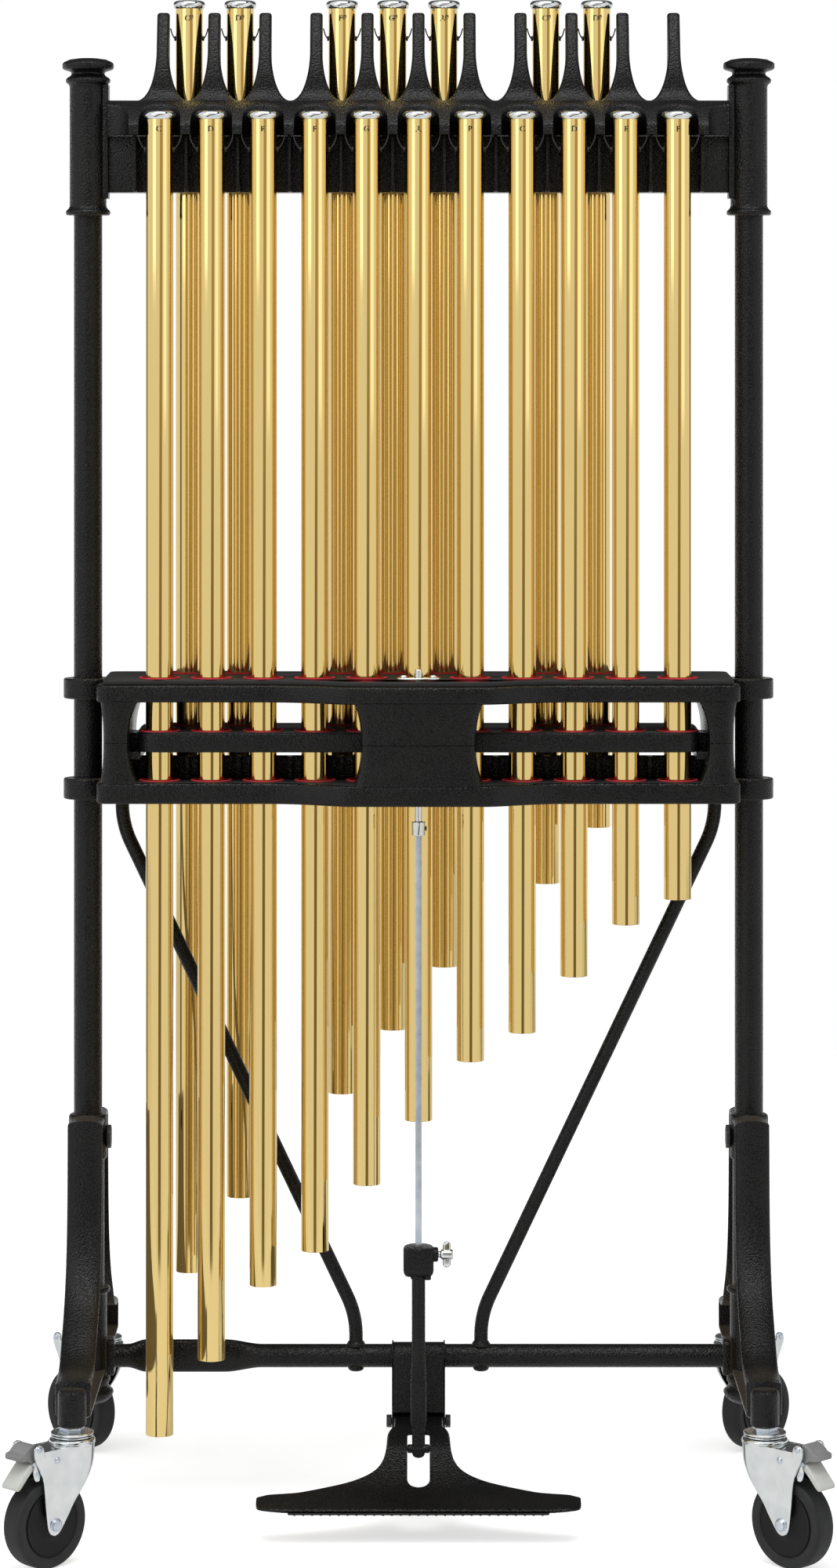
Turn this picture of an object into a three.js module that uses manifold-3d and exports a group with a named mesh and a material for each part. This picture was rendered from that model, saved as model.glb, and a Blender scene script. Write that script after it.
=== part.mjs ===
// Tubular bells (orchestral chimes) on a wheeled stand.
// Eighteen brass tubes hang in two rows from a comb-shaped rail between two posts. A damper box
// with a sliding plate surrounds them halfway down, and a pedal works the plate through a rod.
// Millimetres, +Z up, the player stands at -Y, and the origin is on the floor under the middle.

import * as THREE from "three";
import { mergeVertices } from "three/addons/utils/BufferGeometryUtils.js";
import Module from "manifold-3d";

const wasm = await Module();
wasm.setup();

// Fits: the play of a moving piece, the gap between two pieces that touch, and how far a cut runs out.
const runningClearance = 0.5;
const touchGap = 0.3;
const cutOverrun = 4;

// Tube set. A place is counted in pitches from the middle of the row, and a length is a share of the longest.
const tubePitch = 60;
const rowOffset = 45;
const tubeDiameter = 32;
const tubeWall = 1.5;
const capLip = 3;
const capDiameter = tubeDiameter + 2 * capLip;
const capSkirt = 6.5;
const capDome = 4;
const cordHoleDrop = 45;
const longestTube = 1533;
const lowestEnd = 92.6;
const naturalTop = lowestEnd + longestTube;
const tubeSides = 12;
const tubeSet = [
  { note: "c5", placeShare: -5, sharp: false, lengthShare: 1 },
  { note: "cs5", placeShare: -4.5, sharp: true, lengthShare: 0.9759 },
  { note: "d5", placeShare: -4, sharp: false, lengthShare: 0.9432 },
  { note: "ds5", placeShare: -3.5, sharp: true, lengthShare: 0.9185 },
  { note: "e5", placeShare: -3, sharp: false, lengthShare: 0.8872 },
  { note: "f5", placeShare: -2, sharp: false, lengthShare: 0.8611 },
  { note: "fs5", placeShare: -1.5, sharp: true, lengthShare: 0.8389 },
  { note: "g5", placeShare: -1, sharp: false, lengthShare: 0.8108 },
  { note: "gs5", placeShare: -0.5, sharp: true, lengthShare: 0.79 },
  { note: "a5", placeShare: 0, sharp: false, lengthShare: 0.7626 },
  { note: "as5", placeShare: 0.5, sharp: true, lengthShare: 0.7417 },
  { note: "b5", placeShare: 1, sharp: false, lengthShare: 0.7175 },
  { note: "c6", placeShare: 2, sharp: false, lengthShare: 0.696 },
  { note: "cs6", placeShare: 2.5, sharp: true, lengthShare: 0.6778 },
  { note: "d6", placeShare: 3, sharp: false, lengthShare: 0.6536 },
  { note: "ds6", placeShare: 3.5, sharp: true, lengthShare: 0.6347 },
  { note: "e6", placeShare: 4, sharp: false, lengthShare: 0.6145 },
  { note: "f6", placeShare: 5, sharp: false, lengthShare: 0.5956 },
];
const naturalCount = tubeSet.filter((tube) => !tube.sharp).length;
const rowHalf = ((naturalCount - 1) / 2) * tubePitch;

// Hanging cords: each tube hangs by two short stretches of black cord, one on either side.
const cordDiameter = 2;
const cordSides = 8;
const sharpCordRise = 12;

// Comb rail: a beam whose deck falls forward to scalloped teeth, with eleven prongs that lean back behind it.
const naturalCapRise = 27.6;
const deckLow = naturalTop - naturalCapRise;
const deckDepth = 42;
const deckHigh = deckLow + deckDepth;
const toothThickness = 13;
const toothTop = deckLow + toothThickness;
const toothReach = 5;
const toothFront = -rowOffset - toothReach;
const toothWidth = 12;
const scallopDiameter = tubePitch - toothWidth;
const capRoom = 2;
const deckBack = rowOffset - capDiameter / 2 - capRoom;
const combThickness = 12;
const combFront = deckBack - combThickness;
const prongWidth = 14.5;
const prongHeight = 105;
const prongTop = deckHigh + prongHeight;
const prongReach = 5;
const prongBack = rowOffset + prongReach;
const sharpCapRise = 15;
const sharpTop = prongTop + sharpCapRise;
const valleyShare = 0.5714;
const valleyRise = valleyShare * prongHeight;
const prongLean = 26;
const leanShares = [
  [0.24, 0],
  [0.48, 0.19],
  [0.74, 0.5],
  [1, 1],
];
const valleySteps = 6;

// Rail panel: the wall that hangs under the beam, with a bottom lip and a thin rib under each tooth.
const panelDrop = 66;
const panelLow = deckLow - panelDrop;
const panelDepth = 34;
const panelFront = deckBack - panelDepth;
const panelWall = 8;
const panelLip = 6;
const panelRibWidth = 4.2;
const panelRibDepth = 20;
const panelRibFront = panelFront - panelRibDepth;

// Posts: two steel tubes, each set one margin outside the last natural tube.
const postMargin = 86;
const postDiameter = 33;
const postWall = 1.5;
const postHigh = deckHigh;
const postSides = 16;
const postX = rowHalf + postMargin;

// Post heads: a sleeve with a ring at each end, a waisted neck and a round cap.
const headSleeveWall = 5;
const headSleeveDiameter = postDiameter + 2 * headSleeveWall;
const headRingProud = 4.5;
const headRingDiameter = headSleeveDiameter + 2 * headRingProud;
const headRingHeight = 7;
const headUnderPanel = 26.5;
const headLow = panelLow - headUnderPanel;
const headOverDeck = 26;
const headShoulder = deckHigh + headOverDeck;
const headNeckWaist = 2.5;
const headNeckDiameter = headSleeveDiameter - 2 * headNeckWaist;
const headNeckHeight = 9.5;
const finialOver = 4;
const finialDiameter = headRingDiameter + 2 * finialOver;
const finialRim = 8.5;
const finialDome = 5;
const padThickness = 3;
const padWidth = 30;
const padUnderPanel = 7;
const padLow = panelLow - padUnderPanel;
const padOverDeck = 18;
const padHigh = deckHigh + padOverDeck;

// Damper box: an upper and a lower casting that meet at half height, round all the tubes.
const boxEndSetback = 14;
const boxHalfLength = postX - boxEndSetback;
const boxFrontMargin = 30;
const boxFront = -rowOffset - boxFrontMargin;
const boxBackMargin = 39;
const boxBack = rowOffset + boxBackMargin;
const boxCorner = 14;
const boxRiseShare = 0.5075;
const boxLow = boxRiseShare * naturalTop;
const boxFloorThickness = 24;
const boxFloor = boxLow + boxFloorThickness;
const boxRoom = 93;
const boxCeiling = boxFloor + boxRoom;
const boxCeilingThickness = 20;
const boxTop = boxCeiling + boxCeilingThickness;
const boxPanelThickness = 6;
const boxPanelTop = boxTop + boxPanelThickness;
const boxSeamShare = 0.4946;
const boxSeam = boxFloor + boxSeamShare * boxRoom;
const boxPanelInset = 7;
const bulgeDepth = 35;
const bulgeFront = boxFront - bulgeDepth;
const bulgeHalfWidth = 76;
const bulgeSpread = 100;
const damperHoleRoom = 6;
const damperHole = tubeDiameter + 2 * damperHoleRoom;
const damperRimWidth = 2;
const damperRim = damperHole + 2 * damperRimWidth;
const damperRimHeight = 2;
const holeSides = 12;
const endWallRoom = 8.5;
const endWallInner = rowHalf + tubeDiameter / 2 + endWallRoom;
const endWallWaist = 10;
const endWallInset = 4.5;
const endWallHollow = 3.5;
const pillarInset = 1.5;
const pillarHalfWidth = bulgeHalfWidth - pillarInset;
const pillarWaist = 8;
const pillarSetback = 3.5;
const pillarInner = boxFront + pillarSetback;
const clampWall = 12;
const clampDiameter = postDiameter + 2 * clampWall;
const clampOver = 3.5;

// Moving damper plate: at rest its holes stand one travel back of the tubes, against which it presses.
const damperTravel = 3;
const damperPlateThickness = 22.5;
const damperPlateRiseShare = 0.3763;
const damperPlateLow = boxFloor + damperPlateRiseShare * boxRoom;
const damperPlateHigh = damperPlateLow + damperPlateThickness;
const damperPlateEndPlay = 8;
const damperPlateHalfLength = endWallInner + endWallWaist - damperPlateEndPlay;
const damperPlateFront = pillarInner + damperTravel + runningClearance;
const damperPlateBackRoom = 8;
const damperPlateBack = boxBack - damperPlateBackRoom;
const damperPlateCorner = 28;
const backPillarHalfWidth = 30;
const backPillarInner = damperPlateBack + runningClearance + touchGap;
const ledgeOverlap = 5;
const ledgeInner = damperPlateHalfLength - ledgeOverlap;
const ledgeHalfLength = 55;
const ledgeThickness = 9;

// Divider: a wall between the two rows of tubes, in the lower half of the box.
const dividerThickness = 5;
const dividerHigh = damperPlateLow - ledgeThickness;

// Casters: a zinc stem and raceway, a pressed fork that trails, a wheel, and a brake on the front pair.
const wheelDiameter = 100;
const axleHeight = wheelDiameter / 2;
const axleDiameter = 12;
const axleProud = 5;
const wheelWidth = 28;
const wheelHubProud = 2;
const wheelHubWidth = wheelWidth + 2 * wheelHubProud;
const wheelHubDiameter = 28;
const wheelDiscDiameter = 72;
const wheelDiscInset = 2.5;
const wheelShoulder = 4.5;
const wheelSides = 20;
const casterTrail = 40;
const racewayOverWheel = 38;
const racewayLow = wheelDiameter + racewayOverWheel;
const racewayDiameter = 47;
const racewayHeight = 6.5;
const stemNutAcross = 25;
const stemNutHeight = 5;
const stemNutLow = racewayLow + racewayHeight;
const stemNutHigh = stemNutLow + stemNutHeight;
const stemDiameter = 12;
const stemLength = 35;
const crownDiameter = 52;
const crownThickness = 5;
const forkPlateThick = 4;
const forkSheet = 3;
// Outline of a fork cheek: share of the trail, then share of the height from axle to crown.
const cheekShares = [
  [-0.45, 1],
  [1.42, 1],
  [1.5, 1.1],
  [1.7, 1.1],
  [1.77, 1.01],
  [1.68, 0.87],
  [1.47, 0.69],
  [1.37, 0.4],
  [1.29, 0.05],
  [1.2, -0.08],
  [1.02, -0.14],
  [0.8, -0.08],
  [0.26, 0.28],
  [-0.06, 0.46],
  [-0.33, 0.67],
];
const brakePivotShare = 1.5;
const brakePivotX = brakePivotShare * casterTrail;
const brakePivotDrop = 21;
const brakePivotZ = racewayLow - brakePivotDrop;
const brakePivotDiameter = 8;
const brakeHalfWidth = 13;
const brakeThickness = 6;
// Top line of the brake pedal, from the brake's pivot: share of its reach, then share of its drop.
const brakeReach = 30;
const brakeDrop = 22;
const brakePedalShares = [
  [0, 0.1],
  [0.3, 0],
  [0.62, -0.45],
  [1, -1],
];
// The lever stands on this stretch of the pedal, and its block is given in shares of the reach and of its rise.
const brakeLeverFootShares = [0.1, 0.3];
const brakeLeverRise = 24.5;
const brakeLeverShares = [
  [0.4, 0.3],
  [0.67, 0.3],
  [0.88, 0.36],
  [0.88, 0.6],
  [0.7, 0.68],
  [0.15, 1],
];

// Legs: an I-section casting on each post, with a clamp hub above and a stem sleeve at either end.
const legReach = 250;
const stemSleeveDiameter = 32;
const stemSleeveLow = stemNutHigh + runningClearance;
const stemSleeveHeight = 41;
const stemSleeveHigh = stemSleeveLow + stemSleeveHeight;
const stemTop = stemSleeveLow + stemLength;
const legOverSleeve = 2;
const legLow = stemSleeveLow + legOverSleeve;
const legHeight = 305;
const legHigh = legLow + legHeight;
const legFlangeThick = 8;
const legWeb = 10;
const legBossWall = 2.5;
const legBossDiameter = postDiameter + 2 * legBossWall;
const legHubWall = 6;
const legHubDiameter = postDiameter + 2 * legHubWall;
const legHubHeight = 53;
const legHubLow = legHigh - legHubHeight;
// Half outline of the casting: share of the reach, then share of the height.
const legOutlineShares = [
  [0.228, 1],
  [0.268, 0.623],
  [0.376, 0.403],
  [0.568, 0.259],
  [0.736, 0.17],
  [0.96, 0.148],
  [0.96, 0.02],
  [0.92, 0],
];
const hubBoltDrop = 27;
const hubBoltHeight = legHigh - hubBoltDrop;
const hubBoltAcross = 24;
const hubBoltProud = 4.5;
const hubBoltShank = 12;

// Post feet: a ringed sleeve over a round bell.
const footSleeveWall = 5.5;
const footSleeveDiameter = postDiameter + 2 * footSleeveWall;
const footRingProud = 4;
const footRingDiameter = footSleeveDiameter + 2 * footRingProud;
const footRingHeight = 6;
const footUnderLeg = 4;
const footSleeveLow = legLow - footUnderLeg;
const footSleeveHeight = 107;
const footSleeveHigh = footSleeveLow + footSleeveHeight;
const bellOver = 4;
const bellDiameter = footRingDiameter + 2 * bellOver;
const bellHeight = 29;
const bellLow = footSleeveLow - bellHeight;
const bellRim = 14;
const postSeatRise = 12;
const postLow = footSleeveLow + postSeatRise;
const legFlangeInset = 2;
const legFlangeWidth = footSleeveDiameter - 2 * legFlangeInset;

// Crossbar between the post feet, flattened behind the two longest tubes so that they clear it.
const crossbarRise = 26;
const crossbarHeight = footSleeveLow + crossbarRise;
const crossbarDiameter = 27;
const crossbarFlatTall = 38;
const crossbarFlatThick = 16;
const crossbarFlatPast = 34;
const crossbarFlatOuter = rowHalf + crossbarFlatPast;
const crossbarFlatLength = 146;
const crossbarFlatInner = crossbarFlatOuter - crossbarFlatLength;
const crossbarFlangeRoom = 2;
const crossbarFlangeTall = 2 * (crossbarRise - footRingHeight / 2 - crossbarFlangeRoom);
const crossbarFlangeDeep = 34;
const crossbarFlangeThick = 9;

// Braces from the crossbar out to the ends of the damper box.
const braceDiameter = 16;
const braceFootX = 73;
const braceFootRise = 48;
const braceFootKnee = crossbarHeight + braceFootRise;
const braceHeadInset = 26;
const braceHeadX = boxHalfLength - braceHeadInset;
const braceHeadDrop = 30;
const braceHeadKnee = boxLow - braceHeadDrop;
const braceBend = 24;
const braceCollarWall = 2.5;
const braceCollarDiameter = braceDiameter + 2 * braceCollarWall;
const braceCollarHeight = 10;

// Damper rod: a round rod through the box, a collar, and a square bar that telescopes in the push tube.
const rodSetback = 28;
const rodY = bulgeFront + rodSetback;
const rodDiameter = 8;
const rodProud = 13;
const rodTop = boxPanelTop + rodProud;
const collarDiameter = 16;
const collarDrop = 35;
const collarLow = boxLow - collarDrop;
const collarHeight = 16;
const squareBar = 7.5;
const guideHalfLength = 25;
const guideHalfWidth = 9.5;
const guideThickness = 3;
const guideScrewOffset = 17;
const guideScrewDiameter = 8;
const guideScrewHeight = 3;

// Pedal, its bracket on the crossbar and its pivot.
const pivotDrop = 76.4;
const pivotHeight = crossbarHeight - pivotDrop;
const pivotDiameter = 8;
const pivotHeadDiameter = 14;
const pivotHeadLength = 5;
const bracketHalfWidth = 31;
const bracketSheet = 2;
const bracketCheekDrop = 11.6;
const bracketCheekLow = pivotHeight - bracketCheekDrop;
const bracketFrontRise = 13.4;
const bracketFrontLow = pivotHeight + bracketFrontRise;
const pedalHubDiameter = 18;
const pedalNeckHalf = 35;
const pedalNeckRoom = 3.2;
const pedalNeckBack = -(crossbarDiameter / 2 + touchGap + bracketSheet + pedalNeckRoom);
const pedalPastRod = 110;
const pedalReach = pedalPastRod - rodY;
const pedalHalfWidth = 184;
const pedalPocketPlay = 4.4;
// Flare of the pedal from neck to tread: share of the reach, then share from the neck to the full half width.
const pedalFlareShares = [
  [0.47, 0.007],
  [0.54, 0.075],
  [0.6, 0.142],
  [0.633, 0.243],
  [0.672, 0.379],
  [0.719, 0.546],
  [0.766, 0.713],
  [0.797, 0.88],
  [0.82, 0.98],
  [0.86, 1],
  [0.93, 0.985],
  [0.98, 0.92],
  [1, 0.83],
];
// Side of the pedal: share of the reach, then shares of the pivot height for its top and its underside.
const pedalSideShares = [
  [0.1, 1.091, 0.9],
  [0.208, 1.07, 0.88],
  [0.302, 1.02, 0.85],
  [0.427, 0.922, 0.76],
  [0.521, 0.794, 0.65],
  [0.625, 0.661, 0.54],
  [0.729, 0.558, 0.455],
  [0.87, 0.482, 0.4],
  [0.97, 0.44, 0.39],
  [1, 0.426, 0.39],
];
const treadHalfWidth = 148;
const treadDepth = 24;
const treadThickness = 4;

// Push tube: a clamp block with a wing bolt, and a tube whose flattened end is pinned in the pedal.
const blockWidth = 35;
const blockAhead = 14;
const blockBehind = 24;
const blockCorner = 6;
const blockOverBar = 110;
const blockLow = crossbarHeight + blockOverBar;
const blockHeight = 33;
const wingHeightShare = 0.7273;
const wingHeight = blockLow + wingHeightShare * blockHeight;
const pushTubeBore = squareBar * Math.SQRT2 + 2 * runningClearance;
const pushTubeWall = 1.95;
const pushTubeDiameter = pushTubeBore + 2 * pushTubeWall;
const pushFlatRise = 16;
const pushTubeFlatTop = crossbarHeight + pushFlatRise;
const squareBarRise = 15;
const squareBarLow = pushTubeFlatTop + squareBarRise;
const pushFlatWidth = 18;
const pushEndWidth = 15;
const pushEndLength = 31.5;
const pushEndTaper = 12;
const pushFlatThickness = 9;
const pushTipDrop = 23.1;
const pushTip = pivotHeight - pushTipDrop;
const pushPinRise = 10.1;
const pushPinHeight = pushTip + pushPinRise;
const pushPinDiameter = 6;
const pushPinReach = 5;
const pedalSlotRoom = 3.8;
const pedalSlotWidth = pushFlatWidth + 2 * pedalSlotRoom;
const pedalSlotBehind = 24;
const pedalSlotBack = rodY + pedalSlotBehind;
const pedalSlotAhead = 58;
const pedalSlotFront = rodY - pedalSlotAhead;
const wingBossDiameter = 17;
const wingBossLength = 5.3;
const wingShankDiameter = 6;
const wingShankShort = 1.75;
const wingShankInner = squareBar / 2 + wingShankShort;
const wingNeckLength = 2.4;
const wingHubDiameter = 12;
const wingHubLength = 14;
const wingSpan = 30;
const wingWidth = 9.5;
const wingThickness = 3;

const black = { color: 0x17181a, roughness: 0.55, metalness: 0.35 };
const brass = { color: 0xc9a455, roughness: 0.3, metalness: 1 };
const zinc = { color: 0xa9b2bd, roughness: 0.38, metalness: 0.9 };
const chrome = { color: 0xd9dde0, roughness: 0.12, metalness: 1 };
const blackPlastic = { color: 0x1c1c1e, roughness: 0.6, metalness: 0 };
const darkGrey = { color: 0x4a4d50, roughness: 0.55, metalness: 0 };
const lightGrey = { color: 0x9a9d9f, roughness: 0.55, metalness: 0 };
const rubber = { color: 0x222224, roughness: 0.85, metalness: 0 };

// A polyline path: point i lies at i steps of its length, and the section turns square to the bisector there.
class Route extends THREE.Curve {
  constructor(points) {
    super();
    this.points = points;
  }

  getPointAt(u) {
    const index = Math.round(u * (this.points.length - 1));
    return this.points[index].clone();
  }

  getTangentAt(u) {
    const last = this.points.length - 1;
    const index = Math.round(u * last);
    const before = this.points[Math.max(index - 1, 0)];
    const here = this.points[index];
    const after = this.points[Math.min(index + 1, last)];
    const inward = here.clone().sub(before).normalize();
    const outward = after.clone().sub(here).normalize();
    return inward.add(outward).normalize();
  }
}

// The closed solid of a geometry, with the vertices that coincide merged.
function solidOf(geometry) {
  const bare = geometry.index ? geometry.toNonIndexed() : geometry.clone();
  bare.deleteAttribute("normal");
  bare.deleteAttribute("uv");
  const merged = mergeVertices(bare, 1e-3);
  return new wasm.Manifold(
    new wasm.Mesh({
      numProp: 3,
      vertProperties: merged.getAttribute("position").array,
      triVerts: new Uint32Array(merged.index.array),
    }),
  );
}

function joined(...geometries) {
  return geometries.map(solidOf).reduce((whole, piece) => whole.add(piece));
}

function without(solid, ...geometries) {
  return geometries.map(solidOf).reduce((whole, piece) => whole.subtract(piece), solid);
}

function geometryOf(solid) {
  const mesh = solid.getMesh();
  const geometry = new THREE.BufferGeometry();
  geometry.setAttribute("position", new THREE.BufferAttribute(mesh.vertProperties, 3));
  geometry.setIndex(new THREE.BufferAttribute(mesh.triVerts, 1));
  const flat = geometry.toNonIndexed();
  flat.computeVertexNormals();
  return flat;
}

// Adds a named mesh with a material of its own.
function place(group, name, solid, finish, position = [0, 0, 0]) {
  const mesh = new THREE.Mesh(geometryOf(solid), new THREE.MeshStandardMaterial(finish));
  mesh.name = name;
  mesh.position.set(...position);
  group.add(mesh);
  return mesh;
}

// A body turned about Z from [radius, height] pairs, up the outside first.
function turned(profile, sides) {
  const points = profile.map(([radius, height]) => new THREE.Vector2(radius, height));
  return new THREE.LatheGeometry(points, sides).rotateX(Math.PI / 2);
}

function disc(diameter, low, high, sides) {
  const radius = diameter / 2;
  return turned(
    [
      [0, low],
      [radius, low],
      [radius, high],
      [0, high],
    ],
    sides,
  );
}

// A hexagonal bar along Z, measured across its flats.
function hexBar(across, low, high) {
  return disc(across / Math.cos(Math.PI / 6), low, high, 6);
}

function block([x0, x1], [y0, y1], [z0, z1]) {
  const geometry = new THREE.BoxGeometry(x1 - x0, y1 - y0, z1 - z0);
  return geometry.translate((x0 + x1) / 2, (y0 + y1) / 2, (z0 + z1) / 2);
}

function shapeOf(points) {
  return new THREE.Shape(points.map(([x, y]) => new THREE.Vector2(x, y)));
}

function extruded(shape, depth, curveSegments = 6) {
  return new THREE.ExtrudeGeometry(shape, { depth, curveSegments, bevelEnabled: false });
}

// An outline in plan, standing from one height to another.
function standing(shape, low, high, curveSegments) {
  return extruded(shape, high - low, curveSegments).translate(0, 0, low);
}

// An outline seen from the front (X across, Z up), from y0 back to y1.
function frontal(points, y0, y1) {
  return extruded(shapeOf(points), y1 - y0)
    .rotateX(Math.PI / 2)
    .translate(0, y1, 0);
}

// An outline seen from the side (Y across, Z up), from x0 to x1.
function sideways(points, x0, x1) {
  return extruded(shapeOf(points), x1 - x0)
    .rotateX(Math.PI / 2)
    .rotateZ(Math.PI / 2)
    .translate(x0, 0, 0);
}

// A round bar along X, from x0 to x1, through a point of the YZ plane.
function crossPin(diameter, x0, x1, y, z, sides) {
  return disc(diameter, x0, x1, sides)
    .rotateY(Math.PI / 2)
    .translate(0, y, z);
}

function circlePath(diameter) {
  const circle = new THREE.Path();
  circle.absarc(0, 0, diameter / 2, 0, 2 * Math.PI);
  return circle;
}

// A round pipe along a polyline.
function pipe(points, diameter, sides) {
  const section = new THREE.Shape(circlePath(diameter).getPoints(sides / 4).slice(0, -1));
  const path = new Route(points);
  return new THREE.ExtrudeGeometry(section, {
    steps: points.length - 1,
    extrudePath: path,
    bevelEnabled: false,
  });
}

// Where each tube hangs.
function tubePlace(tube) {
  const x = tube.placeShare * tubePitch;
  const y = (tube.sharp ? 1 : -1) * rowOffset;
  const top = tube.sharp ? sharpTop : naturalTop;
  return { x, y, top };
}

// The two cord stretches of a tube: from the hole in its wall outward and up to the rail.
function hangingCord(tube, side) {
  const { top } = tubePlace(tube);
  const wall = tubeDiameter / 2 - tubeWall / 2;
  const besideProng = (tubePitch - prongWidth - cordDiameter) / 2 - touchGap;
  const anchorX = tube.sharp ? besideProng : (scallopDiameter + cordDiameter) / 2;
  const rise = tube.sharp ? sharpCordRise : deckLow - touchGap - (top - cordHoleDrop);
  const hole = top - cordHoleDrop;
  const points = [
    new THREE.Vector3(side * wall, 0, hole),
    new THREE.Vector3(side * (wall + 0.6 * (anchorX - wall)), 0, hole + 0.25 * rise),
    new THREE.Vector3(side * anchorX, 0, hole + rise),
  ];
  return pipe(points, cordDiameter, cordSides);
}

// A tube open at the bottom, with a domed cap on top and its cords at the sides.
function chimeTube(tube) {
  const { top } = tubePlace(tube);
  const outer = tubeDiameter / 2;
  const bore = outer - tubeWall;
  const low = top - tube.lengthShare * longestTube;
  const capLow = top - capSkirt - capDome;
  const profile = [
    [bore, low],
    [outer, low],
    [outer, capLow],
    [capDiameter / 2, capLow],
    [capDiameter / 2, capLow + capSkirt],
    [capDiameter * 0.34, top - capDome * 0.25],
    [0, top],
    [0, capLow],
    [bore, capLow],
    [bore, low],
  ];
  return joined(turned(profile, tubeSides), hangingCord(tube, -1), hangingCord(tube, 1));
}

function post() {
  const outer = postDiameter / 2;
  const bore = outer - postWall;
  const profile = [
    [bore, postLow],
    [outer, postLow],
    [outer, postHigh],
    [bore, postHigh],
    [bore, postLow],
  ];
  return joined(turned(profile, postSides));
}

// Inner side faces +X, where the pad takes the end of the rail.
function postHead(inward) {
  const seat = postDiameter / 2 + touchGap;
  const ring = headRingDiameter / 2;
  const sleeve = headSleeveDiameter / 2;
  const neckHigh = headShoulder + headNeckHeight;
  const rim = finialDiameter / 2;
  const profile = [
    [seat, headLow],
    [ring, headLow],
    [ring, headLow + headRingHeight],
    [sleeve, headLow + headRingHeight],
    [sleeve, headShoulder - headRingHeight],
    [ring, headShoulder - headRingHeight],
    [ring, headShoulder],
    [headNeckDiameter / 2, headShoulder + headNeckHeight / 2],
    [rim, neckHigh],
    [rim, neckHigh + finialRim],
    [rim * 0.7, neckHigh + finialRim + finialDome * 0.7],
    [0, neckHigh + finialRim + finialDome],
    [0, postHigh + touchGap],
    [seat, postHigh + touchGap],
    [seat, headLow],
  ];
  const padOuter = inward * (sleeve + padThickness);
  const padInner = inward * (seat + touchGap);
  const padSpan = [Math.min(padOuter, padInner), Math.max(padOuter, padInner)];
  const pad = block(padSpan, [-padWidth / 2, padWidth / 2], [padLow, padHigh]);
  const bore = disc(2 * seat, headLow - cutOverrun, postHigh + touchGap, postSides);
  return without(joined(turned(profile, postSides), pad), bore);
}

// Half an ellipse between two prongs, from one prong's flank down and up to the next.
function valleyPoints(centreX) {
  const half = tubePitch / 2 - prongWidth / 2;
  const points = [];
  for (let step = 0; step <= valleySteps; step += 1) {
    const angle = Math.PI * (1 - step / valleySteps);
    const x = centreX + half * Math.cos(angle);
    points.push([x, deckHigh + valleyRise * (1 - Math.sin(angle))]);
  }
  return points;
}

function combOutline() {
  const half = tubePitch / 2 - prongWidth / 2;
  const outline = [[-rowHalf - tubePitch / 2, deckHigh - cutOverrun]];
  const valleys = valleyPoints(0);
  const middle = valleySteps / 2;
  valleys.slice(middle).forEach(([x, z]) => outline.push([x - rowHalf - tubePitch / 2, z]));
  for (let prong = 0; prong < naturalCount; prong += 1) {
    const x = prong * tubePitch - rowHalf;
    outline.push([x - prongWidth / 2, prongTop]);
    outline.push([x + prongWidth / 2, prongTop]);
    const flank = prong < naturalCount - 1 ? valleys : valleys.slice(0, middle + 1);
    flank.forEach(([dx, z]) => outline.push([x + half + prongWidth / 2 + dx, z]));
  }
  outline.push([rowHalf + tubePitch / 2, deckHigh - cutOverrun]);
  return outline;
}

function railEnd() {
  return postX - headSleeveDiameter / 2 - padThickness - touchGap;
}

function combRail() {
  const end = railEnd();
  const drop = deckHigh - toothTop;
  const run = combFront - toothFront;
  const profile = [
    [toothFront, deckLow],
    [deckBack, deckLow],
    [deckBack, deckHigh],
    [combFront, deckHigh],
    [combFront - 0.3 * run, deckHigh - 0.08 * drop],
    [combFront - 0.6 * run, deckHigh - 0.35 * drop],
    [combFront - 0.82 * run, deckHigh - 0.78 * drop],
    [toothFront, toothTop],
  ];
  let rail = joined(sideways(profile, -end, end), frontal(combOutline(), combFront, deckBack));
  for (let prong = 0; prong < naturalCount; prong += 1) {
    const x = prong * tubePitch - rowHalf;
    const half = prongWidth / 2;
    const rib = block([x - half, x + half], [deckBack - touchGap, prongBack], [deckHigh, prongTop]);
    rail = rail.add(solidOf(rib));
  }
  const ahead = combFront - cutOverrun;
  const above = prongTop + cutOverrun;
  const lean = leanShares.map(([height, back]) => [
    combFront + back * prongLean,
    deckHigh + height * prongHeight,
  ]);
  const wedge = [[ahead, lean[0][1]], ...lean, [combFront + prongLean, above], [ahead, above]];
  const scallop = disc(scallopDiameter, deckLow - cutOverrun, deckHigh + cutOverrun, 12);
  const cuts = tubeSet
    .filter((tube) => !tube.sharp)
    .map((tube) => scallop.clone().translate(tubePlace(tube).x, tubePlace(tube).y, 0));
  return without(rail, sideways(wedge, -end, end), ...cuts);
}

function railPanel() {
  const end = railEnd();
  const top = deckLow - touchGap;
  const profile = [
    [panelFront, panelLow],
    [deckBack, panelLow],
    [deckBack, panelLow + panelLip],
    [panelFront + panelWall, panelLow + panelLip],
    [panelFront + panelWall, top],
    [panelFront, top],
  ];
  let panel = joined(sideways(profile, -end, end));
  for (let rib = 0; rib <= naturalCount; rib += 1) {
    const x = rib * tubePitch - rowHalf - tubePitch / 2;
    const half = panelRibWidth / 2;
    const thin = block([x - half, x + half], [panelRibFront, panelFront + touchGap], [panelLow, top]);
    panel = panel.add(solidOf(thin));
  }
  return panel;
}

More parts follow.
